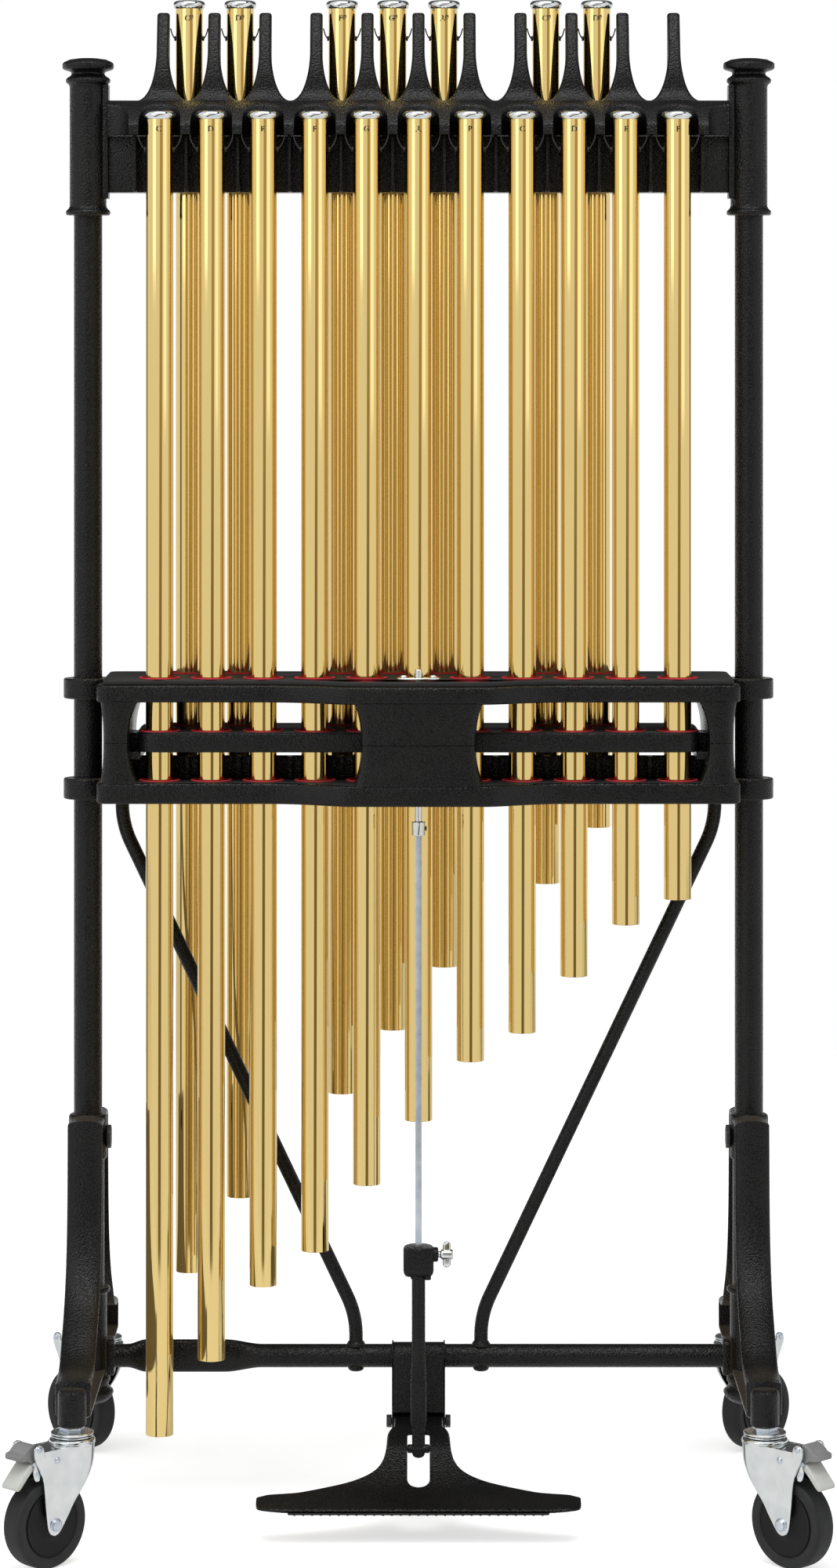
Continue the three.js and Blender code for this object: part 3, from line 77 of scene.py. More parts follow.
def soften(points, radius, steps=3, closed=True):
    # each corner becomes a short parabola: (1-t)^2 * start + 2t(1-t) * corner + t^2 * end
    p = np.array(points, float)
    before, after = np.roll(p, 1, axis=0) - p, np.roll(p, -1, axis=0) - p
    lenBefore = np.linalg.norm(before, axis=1, keepdims=True)
    lenAfter = np.linalg.norm(after, axis=1, keepdims=True)
    start = p + before * np.minimum(radius / lenBefore, 0.45)
    end = p + after * np.minimum(radius / lenAfter, 0.45)
    t = np.linspace(0, 1, steps + 1)[None, :, None]
    curve = (1 - t) ** 2 * start[:, None] + 2 * t * (1 - t) * p[:, None] + t ** 2 * end[:, None]
    if closed:
        return curve.reshape(-1, p.shape[1])
    return np.vstack([p[:1], curve[1:-1].reshape(-1, p.shape[1]), p[-1:]])


def turned(profile, sides=48, centre=(0, 0, 0), axis=(0, 0, 1), bored=False):
    # point(u, v) = centre + axis * height(u) + radius(u) * (cos v, sin v) across the axis
    profile = np.array(profile, float)
    angle = np.linspace(0, 2 * math.pi, sides, endpoint=False)
    u, v, w = axisFrame(axis)
    around = np.cos(angle)[:, None] * u + np.sin(angle)[:, None] * v
    points = profile[:, 0, None, None] * around[None] + profile[:, 1, None, None] * w + np.array(centre, float)
    return grid(points, loopRows=bored)


def lathe(profile, ease, sides=48, centre=(0, 0, 0), axis=(0, 0, 1), bored=False, steps=3):
    # a turned part with eased corners; a bored one closes on itself
    return turned(soften(profile, ease, steps, closed=bored), sides, centre, axis, bored)


def piped(path, radius, sides=16, side=(0, 1, 0), squash=None, caps=True):
    # a section carried along the path; side is square to the path's plane, and squash scales it per point
    path = np.array(path, float)
    tangent = np.gradient(path, axis=0)
    tangent /= np.linalg.norm(tangent, axis=1, keepdims=True)
    side = np.array(side, float)
    across = np.cross(tangent, side)
    across /= np.linalg.norm(across, axis=1, keepdims=True)
    radius = np.broadcast_to(np.array(radius, float), (len(path),))
    squash = np.ones((len(path), 2)) if squash is None else np.array(squash, float)
    angle = np.linspace(0, 2 * math.pi, sides, endpoint=False)
    along = np.cos(angle)[None, :, None] * across[:, None] * (radius * squash[:, 0])[:, None, None]
    out = np.sin(angle)[None, :, None] * side * (radius * squash[:, 1])[:, None, None]
    return grid(path[:, None] + along + out, caps=caps)


def smoothPath(points, steps=12):
    # Catmull-Rom: the curve passes every point with the slope of the chord between its neighbours
    p = np.array(points, float)
    p = np.vstack([2 * p[0] - p[1], p, 2 * p[-1] - p[-2]])
    a, b, c, d = p[:-3, None], p[1:-2, None], p[2:-1, None], p[3:, None]
    t = np.linspace(0, 1, steps, endpoint=False)[None, :, None]
    curve = 0.5 * (2 * b + (c - a) * t + (2 * a - 5 * b + 4 * c - d) * t ** 2 + (3 * b - a - 3 * c + d) * t ** 3)
    return np.vstack([curve.reshape(-1, p.shape[1]), p[-2:-1]])


def cornerArc(a, b, c, steps=6):
    # (1-t)^2 a + 2t(1-t) b + t^2 c
    t = np.linspace(0, 1, steps)[:, None]
    a, b, c = (np.array(p, float) for p in (a, b, c))
    return (1 - t) ** 2 * a + 2 * t * (1 - t) * b + t ** 2 * c


def smooth(t):
    # 3t^2 - 2t^3 between 0 and 1
    t = np.clip(t, 0, 1)
    return t * t * (3 - 2 * t)


def rowsOf(x, y, z):
    # one closed ring of widths and depths at each height
    rows = np.empty((len(z), x.shape[1], 3))
    rows[:, :, 0], rows[:, :, 1], rows[:, :, 2] = x, y, z[:, None]
    return grid(rows, caps=True)


def pick(settings, *names):
    return (settings[name] for name in names)


def mirrored(half):
    # one half of an outline, doubled across the middle
    return np.vstack([half, (half * [-1, 1])[::-1]])


def linked(name, data):
    obj = bpy.data.objects.new(name, data)
    bpy.context.scene.collection.objects.link(obj)
    return obj


def solid(name, verts, faces):
    mesh = bpy.data.meshes.new(name)
    mesh.from_pydata(verts.tolist(), [], faces)
    return linked(name, mesh)


def arraysOf(mesh):
    # points, and corner numbers of every face, cut out of the mesh's flat arrays
    verts = np.empty(len(mesh.vertices) * 3)
    mesh.vertices.foreach_get("co", verts)
    corners = np.empty(len(mesh.loops), int)
    mesh.loops.foreach_get("vertex_index", corners)
    starts = np.empty(len(mesh.polygons), int)
    mesh.polygons.foreach_get("loop_start", starts)
    return verts.reshape(-1, 3), [part.tolist() for part in np.split(corners, starts[1:])]


def plate(outline, low, high, holes=(), bevel=0.6, facing="up", steps=2):
    # a flat outline with holes, given thickness and rounded edges; facing says which plane it lies in
    curve = bpy.data.curves.new("outline", "CURVE")
    curve.dimensions = "2D"
    curve.fill_mode = "BOTH"
    curve.extrude = (high - low) / 2 - bevel
    curve.bevel_depth = bevel
    curve.bevel_resolution = steps
    curve.offset = -bevel
    for loop in [outline, *holes]:
        loop = np.array(loop, float)
        spline = curve.splines.new("POLY")
        spline.points.add(len(loop) - 1)
        spline.points.foreach_set("co", np.column_stack([loop, np.zeros(len(loop)), np.ones(len(loop))]).ravel())
        spline.use_cyclic_u = True
    holder = bpy.data.objects.new("outline", curve)
    verts, faces = arraysOf(holder.to_mesh())
    holder.to_mesh_clear()
    bpy.data.objects.remove(holder)
    bpy.data.curves.remove(curve)
    verts[:, 2] += (low + high) / 2
    return verts[:, {"up": (0, 1, 2), "front": (0, 2, 1), "side": (2, 0, 1)}[facing]], faces


def slab(x, y, z, bevel=0.8, corner=2.0, facing="up"):
    # a block with rounded corners in plan and softened edges
    spans = {"up": (x, y, z), "front": (x, z, y), "side": (y, z, x)}[facing]
    (a0, a1), (b0, b1), (low, high) = spans
    outline = soften([(a0, b0), (a1, b0), (a1, b1), (a0, b1)], corner)
    return plate(outline, low, high, bevel=bevel, facing=facing)


def circle(radius, sides=32, x=0.0, y=0.0):
    angle = np.linspace(0, 2 * math.pi, sides, endpoint=False)
    return np.column_stack([x + radius * np.cos(angle), y + radius * np.sin(angle)])


def hexagon(across, x=0.0, y=0.0):
    angle = np.radians(np.arange(0, 360, 60) + 30)
    return np.column_stack([x + across / 1.732 * np.cos(angle), y + across / 1.732 * np.sin(angle)])


def piece(name, parts, material, body, slotName, stands=(), at=None, sharp=32, cutters=()):
    # parts joined in one mesh, welded, faces out, smooth except over edges sharper than the angle
    faces, start = [], 0
    for partVerts, partFaces in parts:
        faces += [[i + start for i in face] for face in partFaces]
        start += len(partVerts)
    verts = np.vstack([partVerts for partVerts, _ in parts]) * mm
    if at is not None:
        verts = verts @ np.array(at.to_3x3()).T + np.array(at.translation)
    obj = solid(name, verts, faces)
    weld(obj.data)
    for cutter in cutters:
        carve(obj, cutter)
    finishEdges(obj.data, sharp)
    obj.data.materials.clear()
    obj.data.materials.append(material)
    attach(obj, body)
    if stands:
        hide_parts(*stands)


def weld(mesh):
    shape = bmesh.new()
    shape.from_mesh(mesh)
    bmesh.ops.remove_doubles(shape, verts=shape.verts, dist=0.00002)
    bmesh.ops.dissolve_degenerate(shape, edges=shape.edges, dist=0.000005)
    bmesh.ops.recalc_face_normals(shape, faces=shape.faces)
    shape.to_mesh(mesh)
    shape.free()


def finishEdges(mesh, sharp):
    shape = bmesh.new()
    shape.from_mesh(mesh)
    limit = math.radians(sharp)
    for edge in shape.edges:
        edge.smooth = len(edge.link_faces) == 2 and edge.calc_face_angle(0) < limit
    for face in shape.faces:
        face.smooth = True
    shape.to_mesh(mesh)
    shape.free()


def carve(obj, cutter):
    # cuts a closed part out of the piece
    verts, faces = cutter
    tool = solid("cutter", verts * mm, faces)
    weld(tool.data)
    cut = obj.modifiers.new("cut", "BOOLEAN")
    cut.object = tool
    cut.operation = "DIFFERENCE"
    cut.solver = "EXACT"
    result = bpy.data.meshes.new_from_object(obj.evaluated_get(bpy.context.evaluated_depsgraph_get()))
    obj.modifiers.clear()
    obj.data = result
    bpy.data.objects.remove(tool)


def wire(tree, value, socket):
    # a number is set on the socket, and another node's output is linked to it
    if isinstance(value, (int, float)):
        socket.default_value = value
    else:
        tree.links.new(value, socket)


def addNode(tree, kind, sockets, **settings):
    node = tree.nodes.new("ShaderNode" + kind)
    for label, value in settings.items():
        setattr(node, label, value)
    for label, value in sockets.items():
        wire(tree, value, node.inputs[label])
    return node.outputs


def mathNode(tree, operation, *values):
    return addNode(tree, "Math", dict(enumerate(values)), operation=operation)[0]


def noiseNode(tree, place, scale, detail):
    return addNode(tree, "TexNoise", {"Vector": place, "Scale": scale, "Detail": detail})["Fac"]


def rangeNode(tree, source, start, stop, low=0.0, high=1.0, curve="SMOOTHSTEP"):
    # a value between start and stop becomes a number from low to high
    levels = {"Value": source, "From Min": start, "From Max": stop, "To Min": low, "To Max": high}
    return addNode(tree, "MapRange", levels, interpolation_type=curve)["Result"]


def newGroup(name, inputs, outputs):
    # inputs with their default values; the object's own coordinates come along
    tree = bpy.data.node_groups.new(name, "ShaderNodeTree")
    for label, value in inputs.items():
        tree.interface.new_socket(name=label, in_out="INPUT", socket_type="NodeSocketFloat").default_value = value
    for label in outputs:
        tree.interface.new_socket(name=label, in_out="OUTPUT", socket_type="NodeSocketFloat")
    place = addNode(tree, "TexCoord", {})["Object"]
    return tree, place, tree.nodes.new("NodeGroupInput").outputs, tree.nodes.new("NodeGroupOutput").inputs


def makeGrain():
    # leather grain: pebbles from a Voronoi pattern with wandering noise, as a height
    tree, place, given, out = newGroup("leatherGrain", {"Pebbles per metre": 520.0, "Drift": 0.45}, ["Height"])
    noise = noiseNode(tree, place, mathNode(tree, "MULTIPLY", given["Pebbles per metre"], 0.6), 3.0)
    pebbles = {"Vector": place, "Scale": given["Pebbles per metre"], "Smoothness": 0.6}
    rise = mathNode(tree, "SUBTRACT", 0.7, addNode(tree, "TexVoronoi", pebbles, feature="SMOOTH_F1")["Distance"])
    wander = mathNode(tree, "MULTIPLY", noise, given["Drift"])
    wire(tree, mathNode(tree, "ADD", rise, wander), out["Height"])
    return tree


def makeBrushing():
    # drawn metal: noise pulled long up the tube, as fine lines and as slow clouds
    sizes = {"Lines per metre": 1500.0, "Stretch": 0.012}
    tree, place, given, out = newGroup("drawnMetal", sizes, ["Lines", "Clouds"])
    x, y, z = addNode(tree, "SeparateXYZ", {0: place})
    pulled = addNode(tree, "CombineXYZ", {"X": x, "Y": y, "Z": mathNode(tree, "MULTIPLY", z, given["Stretch"])})[0]
    wire(tree, noiseNode(tree, pulled, given["Lines per metre"], 4.0), out["Lines"])
    wire(tree, noiseNode(tree, place, 14.0, 2.0), out["Clouds"])
    return tree


def makeFilm():
    # handling film: slow blotches and fine specks, for metal that is otherwise mirror bright, rubber and plastic
    sizes = {"Blotches per metre": 30.0, "Specks per metre": 900.0}
    tree, place, given, out = newGroup("handlingFilm", sizes, ["Blotch", "Speck"])
    wire(tree, noiseNode(tree, place, given["Blotches per metre"], 3.0), out["Blotch"])
    wire(tree, noiseNode(tree, place, given["Specks per metre"], 2.0), out["Speck"])
    return tree


grainGroup, brushingGroup, filmGroup = makeGrain(), makeBrushing(), makeFilm()


def setSockets(node, values):
    for label, value in values.items():
        node.inputs[label.replace("_", " ")].default_value = value


def finish(name, **plain):
    # a material whose constant values sit on the shader's own sockets
    material = bpy.data.materials.new(name)
    material.use_nodes = True
    shader = material.node_tree.nodes["Principled BSDF"]
    setSockets(shader, plain)
    return material, material.node_tree, shader


def placeGroup(tree, group, **values):
    node = tree.nodes.new("ShaderNodeGroup")
    node.node_tree = group
    setSockets(node, values)
    return node.outputs


def spread(tree, source, low, high, target, start=0.3, stop=0.7):
    # a mask between start and stop becomes a number from low to high
    wire(tree, rangeNode(tree, source, start, stop, low, high, "LINEAR"), target)


def tint(tree, source, dark, light, target, start=0.3, stop=0.7):
    # a mask becomes a colour between two tones
    node = tree.nodes.new("ShaderNodeValToRGB")
    for end, position, tone in zip(node.color_ramp.elements, (start, stop), (dark, light)):
        end.position = position
        end.color = (*tone, 1)
    wire(tree, source, node.inputs["Fac"])
    wire(tree, node.outputs["Color"], target)


def bump(tree, source, shader, strength, distance):
    skin = {"Strength": strength, "Distance": distance, "Height": source}
    wire(tree, addNode(tree, "Bump", skin)["Normal"], shader.inputs["Normal"])


def makePowderCoat(name, mirrorGlow=0.0):
    # black grained paint; its last argument sets a painted glow, warm and seen only by mirror rays, standing in for the
    # room light a real stand reflects
    material, tree, shader = finish(name, Roughness=0.26, Specular_IOR_Level=0.24, Emission_Color=(1.0, 0.84, 0.6, 1))
    # painted glow: emission only where a mirror ray meets the paint
    mirror = addNode(tree, "LightPath", {})["Is Glossy Ray"]
    wire(tree, mathNode(tree, "MULTIPLY", mirror, mirrorGlow), shader.inputs["Emission Strength"])
    height = placeGroup(tree, grainGroup)["Height"]
    blotch = placeGroup(tree, filmGroup, Blotches_per_metre=22.0)["Blotch"]
    tint(tree, blotch, (0.0028, 0.0028, 0.0031), (0.0058, 0.0056, 0.0055), shader.inputs["Base Color"])
    spread(tree, height, 0.22, 0.34, shader.inputs["Roughness"], 0.2, 0.9)
    bump(tree, height, shader, 1.0, 0.0007)
    return material


def makeTubeBrass():
    material, tree, shader = finish("tubeBrass", Metallic=1.0, Roughness=0.08)
    drawn = placeGroup(tree, brushingGroup)
    tint(tree, drawn["Lines"], (0.755, 0.572, 0.229), (0.775, 0.588, 0.246), shader.inputs["Base Color"])
    spread(tree, drawn["Clouds"], 0.06, 0.09, shader.inputs["Roughness"])
    return material


def makeHandled(name, dark, light, roughness, roughMask, skin, sizes, **plain):
    # two tones over slow blotches, roughness over a mask of its own, and a fine skin of (strength, distance)
    material, tree, shader = finish(name, **plain)
    film = placeGroup(tree, filmGroup, **sizes)
    tint(tree, film["Blotch"], dark, light, shader.inputs["Base Color"])
    spread(tree, film[roughMask], *roughness, shader.inputs["Roughness"])
    if skin:
        bump(tree, film["Speck"], shader, *skin)
    return material


def makeMoulded(name, dark, light, rough, grain=0.12, shine=0.5):
    # moulded plastic or rubber: a slow change of tone and a fine speckled skin
    sizes = {"Blotches_per_metre": 45.0, "Specks_per_metre": 1400.0}
    return makeHandled(name, dark, light, (rough - 0.06, rough + 0.08), "Speck", (grain, 0.00015), sizes,
                       Roughness=rough, Specular_IOR_Level=shine)


powderCoat = makePowderCoat("powderCoat")
# the stand's powder coat, with a painted glow in mirror rays for the room light it reflects
mirrorGlowCoat = makePowderCoat("mirrorGlowCoat", 0.15)
tubeBrass = makeTubeBrass()
brightChrome = makeHandled("brightChrome", (0.60, 0.63, 0.635), (0.69, 0.71, 0.715), (0.04, 0.12), "Blotch", None,
                           {"Blotches_per_metre": 60.0}, Metallic=1.0, Roughness=0.07)
blueZinc = makeHandled("blueZinc", (0.46, 0.52, 0.60), (0.62, 0.66, 0.72), (0.26, 0.42), "Speck", (0.08, 0.0001),
                       {"Blotches_per_metre": 90.0}, Metallic=1.0, Roughness=0.33)
redFelt = makeMoulded("redFelt", (0.38, 0.012, 0.020), (0.52, 0.020, 0.030), 0.7, 0.4)
damperBoard = makeMoulded("damperBoard", (0.012, 0.012, 0.013), (0.020, 0.020, 0.021), 0.48, 0.2)
topPanel = makeMoulded("topPanel", (0.006, 0.006, 0.006), (0.010, 0.010, 0.010), 0.62, 0.06)
cordBlack = makeMoulded("cordBlack", (0.012, 0.012, 0.012), (0.03, 0.03, 0.03), 0.7, 0.6)
treadRubber = makeMoulded("treadRubber", (0.016, 0.016, 0.017), (0.028, 0.028, 0.028), 0.66, 0.3)
wheelRubber = makeMoulded("wheelRubber", (0.012, 0.0125, 0.013), (0.019, 0.0195, 0.020), 0.55, 0.15, 0.3)
wheelDisc = makeMoulded("wheelDisc", (0.003, 0.003, 0.003), (0.005, 0.005, 0.005), 0.42, 0.08, 0.2)
brakeGrey = makeMoulded("brakeGrey", (0.52, 0.53, 0.50), (0.60, 0.61, 0.575), 0.5)
leverGrey = makeMoulded("leverGrey", (0.19, 0.193, 0.192), (0.245, 0.248, 0.246), 0.5)
blackBolt = makeMoulded("blackBolt", (0.02, 0.02, 0.022), (0.04, 0.04, 0.042), 0.36, 0.1)
letterInk = makeMoulded("letterInk", (0.016, 0.008, 0.003), (0.028, 0.014, 0.005), 0.6, 0.0)
# near-black painted shade, for grooves, sockets and gaps where shade falls
paintedShadeBlack = makeMoulded("paintedShadeBlack", (0.002, 0.002, 0.002), (0.004, 0.004, 0.004), 0.8, 0.0)
print("finishes made")


def painted(name, parts, *stands, body="frame", coat=powderCoat, **more):
    piece(name, parts, coat, body, "powder_coat", stands, **more)


view = {"distance": 5.402, "height": 1.345, "lens": 106.2, "shiftY": -0.275}
studio = {
    "wall": 0.93, "gap": 0.2, "gapHigh": 0.5, "gapTone": (1.0, 0.78, 0.42), "gapFrom": 3.0, "gapTo": 25.5,
    "gapSlant": 1.2, "gapSoft": 2.0, "gapRise": (-5.0, 2.0), "gapCeases": (5.0, 8.0),
    "lintel": 0.03, "lintelTurn": (-14.0, 42.0, 3.0), "lintelRise": (13.0, 36.0, 2.0),
    "rear": 0.1, "rearTurn": (100.0, 112.0), "rearRise": (5.5, 8.5), "ceiling": 0.75, "ceilingRise": (62.0, 74.0),
    "floorGlow": 0.6, "floorSheen": 0.22, "keyPower": 22.0, "fillPower": 12.0, "topPower": 84.0,
}


def makeCamera():
    data = bpy.data.cameras.new("camera")
    data.sensor_fit = "VERTICAL"
    data.sensor_height = 36.0
    data.lens = view["lens"]
    data.shift_y = view["shiftY"]
    camera = linked("camera", data)
    camera.location = (0, -view["distance"], view["height"])
    camera.rotation_euler = (math.pi / 2, 0, 0)
    bpy.context.scene.camera = camera


def seenDirectly(tree):
    # the eye's own rays, and those of mirrors and glass, as two masks
    path = addNode(tree, "LightPath", {})
    return path["Is Camera Ray"], mathNode(tree, "MAXIMUM", path["Is Glossy Ray"], path["Is Transmission Ray"])


def makeFloor():
    # white paper on the floor, with a glow that is stronger for the eye than for mirrors
    floorMaterial, tree, shader = finish("paperSweep", Roughness=0.9, Base_Color=(0.84, 0.84, 0.84, 1))
    plain, sheen = (mathNode(tree, "MULTIPLY", mask, studio[level])
                    for mask, level in zip(seenDirectly(tree), ("floorGlow", "floorSheen")))
    glow = addNode(tree, "Emission", {"Strength": mathNode(tree, "ADD", plain, sheen)})[0]
    both = addNode(tree, "AddShader", {0: shader.outputs[0], 1: glow})[0]
    wire(tree, both, tree.nodes["Material Output"].inputs["Surface"])
    corners = np.array([(-7000, -1500, 0), (7000, -1500, 0), (7000, 3500, 0), (-7000, 3500, 0)], float)
    paper = solid("paperSweep", corners * mm, [(0, 1, 2, 3)])
    paper.data.materials.append(floorMaterial)


def makeWorld():
    # pale screens with a slanting gap and a dark lintel in front, dark above the horizon behind; the eye sees plain white
    world = bpy.data.worlds.new("studio")
    bpy.context.scene.world = world
    world.use_nodes = True
    tree = world.node_tree
    plain = tree.nodes["Background"].inputs
    x, y, z = addNode(tree, "SeparateXYZ", {0: addNode(tree, "TexCoord", {})["Generated"]})

    work = partial(mathNode, tree)

    def times(first, second):
        return work("MULTIPLY", first, second)

    def window(source, start, stop, soft):
        # 1 between start and stop, with soft shoulders
        return times(rangeNode(tree, source, start - soft, start + soft),
                     rangeNode(tree, source, stop - soft, stop + soft, 1.0, 0.0))

    def blendTo(tone, mask, target):
        # tone + (target - tone) * mask
        return work("ADD", tone, times(work("SUBTRACT", target, tone), mask))

    turn = work("DEGREES", work("ARCTAN2", x, times(y, -1.0)))
    rise = work("DEGREES", work("ARCSINE", z))
    slanted = work("SUBTRACT", turn, times(rise, studio["gapSlant"]))
    gap = window(slanted, studio["gapFrom"], studio["gapTo"], studio["gapSoft"])
    lintel = times(window(turn, *studio["lintelTurn"]), window(rise, *studio["lintelRise"]))
    rear = times(rangeNode(tree, work("ABSOLUTE", turn), *studio["rearTurn"]), rangeNode(tree, rise, *studio["rearRise"]))
    over = rangeNode(tree, rise, *studio["ceilingRise"])
    lowGap = rangeNode(tree, rise, *studio["gapRise"], studio["gap"], studio["gapHigh"])
    inGap = blendTo(lowGap, rangeNode(tree, rise, *studio["gapCeases"]), studio["lintel"])
    tone = studio["wall"]
    for mask, target in ((gap, inGap), (lintel, studio["lintel"]), (rear, studio["rear"]), (over, studio["ceiling"])):
        tone = blendTo(tone, mask, target)
    eye, _ = seenDirectly(tree)
    warm = times(gap, rangeNode(tree, rise, *studio["gapCeases"], 1.0, 0.0))
    tint(tree, times(warm, work("SUBTRACT", 1.0, eye)), (1, 1, 1), studio["gapTone"], plain["Color"], 0.0, 1.0)
    wire(tree, work("MAXIMUM", tone, eye), plain["Strength"])


def makeLamps():
    # name, place, aim, width, height and power
    lamps = (
        ("keyPanel", (-3.2, -3.4, 2.9), (0, 0, 0.9), 2.4, 3.0, studio["keyPower"]),
        ("fillPanel", (3.4, -3.2, 2.6), (0, 0, 0.9), 2.4, 3.0, studio["fillPower"]),
        ("overheadPanel", (0, -1.9, 4.3), (0, 0, 1.2), 3.4, 2.4, studio["topPower"]),
    )
    for name, place, aim, wide, tall, power in lamps:
        data = bpy.data.lights.new(name, "AREA")
        data.shape = "RECTANGLE"
        data.size, data.size_y = wide, tall
        data.energy = power
        lamp = linked(name, data)
        lamp.location = place
        lamp.rotation_euler = (Vector(place) - Vector(aim)).to_track_quat("Z", "Y").to_euler()


makeCamera()
makeFloor()
makeWorld()
makeLamps()
bpy.context.scene.view_settings.view_transform = "Standard"
print("camera, floor and light set")


tubeSet = {
    "pitch": 60.0, "naturalY": -45.0, "sharpY": 45.0, "naturalTop": 1625.6, "sharpTop": 1760.0,
    "radius": 16.0, "wall": 1.5, "capRadius": 19.0, "capHeight": 10.5, "holeDrop": 45.0,
    "cord": 0.75, "naturalAnchor": (25.0, 1598.2), "sharpAnchor": (21.9, 1727.0), "ink": 0.04, "stroke": 0.34,
    "letterDrop": 25.0, "letterHeight": 9.2, "letterShift": -1.6, "signHeight": 6.6, "signShift": 3.2, "signRise": 2.4,
    "notes": [
        ("c5", "C", -5, 1533), ("cs5", "C#", -4.5, 1496), ("d5", "D", -4, 1446), ("ds5", "D#", -3.5, 1408),
        ("e5", "E", -3, 1360), ("f5", "F", -2, 1320), ("fs5", "F#", -1.5, 1286), ("g5", "G", -1, 1243),
        ("gs5", "G#", -0.5, 1211), ("a5", "A", 0, 1169), ("as5", "A#", 0.5, 1137), ("b5", "B", 1, 1100),
        ("c6", "C", 2, 1067), ("cs6", "C#", 2.5, 1039), ("d6", "D", 3, 1002), ("ds6", "D#", 3.5, 973),
        ("e6", "E", 4, 942), ("f6", "F", 5, 913),
    ],
}


def tubePlaces():
    # (note, letter, x, y, top, length) of each tube, with the sharps in the row behind
    rows = []
    for note, letter, place, length in tubeSet["notes"]:
        row = "sharp" if "#" in letter else "natural"
        rows.append((note, letter, place * tubeSet["pitch"], tubeSet[row + "Y"], tubeSet[row + "Top"], length))
    return rows


def letterPart(text, x, y, z, size, shiftX=0.0):
    # flat letters wrapped on the tube: y = -sqrt(R^2 - x^2), a hair proud
    curve = bpy.data.curves.new("letter", "FONT")
    curve.body = text
    curve.align_x = "CENTER"
    curve.size = size
    curve.extrude = tubeSet["ink"] / 2
    curve.offset = tubeSet["stroke"]
    holder = linked("letter", curve)
    bpy.context.view_layer.update()
    mesh = bpy.data.meshes.new_from_object(holder.evaluated_get(bpy.context.evaluated_depsgraph_get()))
    verts, faces = arraysOf(mesh)
    bpy.data.objects.remove(holder)
    bpy.data.meshes.remove(mesh)
    bpy.data.curves.remove(curve)
    across = verts[:, 0] + shiftX
    reach = tubeSet["radius"] + tubeSet["ink"] + verts[:, 2]
    wrapped = -np.sqrt(reach ** 2 - across ** 2)
    return np.column_stack([across + x, wrapped + y, verts[:, 1] + z]), faces


def barrelPart(x, y, low, high):
    out, into, ease = tubeSet["radius"], tubeSet["radius"] - tubeSet["wall"], 0.4
    profile = [(into, low + ease), (into + ease, low), (out - ease, low), (out, low + ease), (out, high), (into, high)]
    return turned(profile, 64, (x, y, 0), bored=True)


def capPart(x, y, low, top):
    # skirt, swelling shoulder and crown, hollow over the tube's end
    radius, rim = pick(tubeSet, "radius", "capRadius")
    outer = [(radius + 0.05, low), (radius + 0.9, low), (radius + 2.2, low + 1.9), (rim, low + 4.4), (rim - 0.3, top - 4.0),
             (rim - 1.9, top - 1.6), (rim - 5.5, top - 0.6), (0.6, top)]
    hollow = [(0, low + 1.2), (radius - 2, low + 1.2), (radius - 2, low)]
    return turned(np.vstack([hollow, soften(outer, 1.6, 4, closed=False), [(0, top)]]), 64, (x, y, 0))


def cordParts(side, x, y, hole, reach, rise):
    # an eye in the tube's wall, and the cord from it up to the rail
    radius, drop = tubeSet["radius"], rise - hole
    eye = lathe([(1.0, -1.6), (2.1, -1.6), (2.1, 0.1), (3.0, 0.1), (3.0, 1.5), (1.0, 1.8)], 0.4, 20,
                (x + side * radius, y, hole), (side, 0, 0), bored=True)
    route = [(radius - 3, 0), (radius + 1.2, 0.3), (radius + 0.62 * (reach - radius), 0.36 * drop),
             (reach - 0.6, 0.75 * drop), (reach, drop)]
    path = smoothPath([(x + side * out, y, hole + up) for out, up in route], 6)
    return eye, piped(path, tubeSet["cord"], 8)


def buildTubes():
    for note, letter, x, y, top, length in tubePlaces():
        body, sharpNote = "tube_" + note, "#" in letter
        capLow, hole, z = (top - tubeSet[drop] for drop in ("capHeight", "holeDrop", "letterDrop"))
        barrel = barrelPart(x, y, top - length, capLow + 1)
        piece("tubeBarrel_" + note, [barrel], tubeBrass, body, "brass_tube", ["tube_" + note])
        piece("tubeCap_" + note, [capPart(x, y, capLow, top)], brightChrome, body, "chrome")
        anchor = tubeSet["sharpAnchor" if sharpNote else "naturalAnchor"]
        eyes, cords = zip(*(cordParts(side, x, y, hole, *anchor) for side in (-1, 1)))
        painted("cordEyes_" + note, eyes, coat=damperBoard, body=body)
        painted("hangingCord_" + note, cords, coat=cordBlack, body=body)
        letters = [letterPart(letter[0], x, y, z, tubeSet["letterHeight"], tubeSet["letterShift"] if sharpNote else 0.0)]
        if sharpNote:
            letters.append(letterPart("#", x, y, z + tubeSet["signRise"], tubeSet["signHeight"], tubeSet["signShift"]))
        painted("noteLetter_" + note, letters, coat=letterInk, body=body, sharp=80)


buildTubes()
print("tubes hung")


rail = {
    "end": 361.7, "low": 1598.0, "high": 1640.0, "back": 24.0, "combFront": 12.0, "toothFront": -50.0, "toothTop": 1611.0,
    "scallop": 24.0, "prongWidth": 14.5, "prongTop": 1745.0, "prongBack": 50.0, "prongStraight": 1706.0, "valleyRise": 60.0,
    "prongLean": 26.0, "leanLow": 1665.0, "panelLow": 1532.0, "panelFront": -10.0, "panelWall": 8.0, "panelFoot": 6.0,
    "ribWidth": 4.2, "ribFront": -30.0,
}


def deckHeight(y):
    # height of the deck at a depth: flat by the comb, then a smooth fall to the teeth
    t = np.clip((rail["combFront"] - y) / (rail["combFront"] - rail["toothFront"]), 0, 1)
    return rail["high"] - (rail["high"] - rail["toothTop"]) * (1 - np.cos(t ** 1.5 * math.pi / 2) ** 1.15)


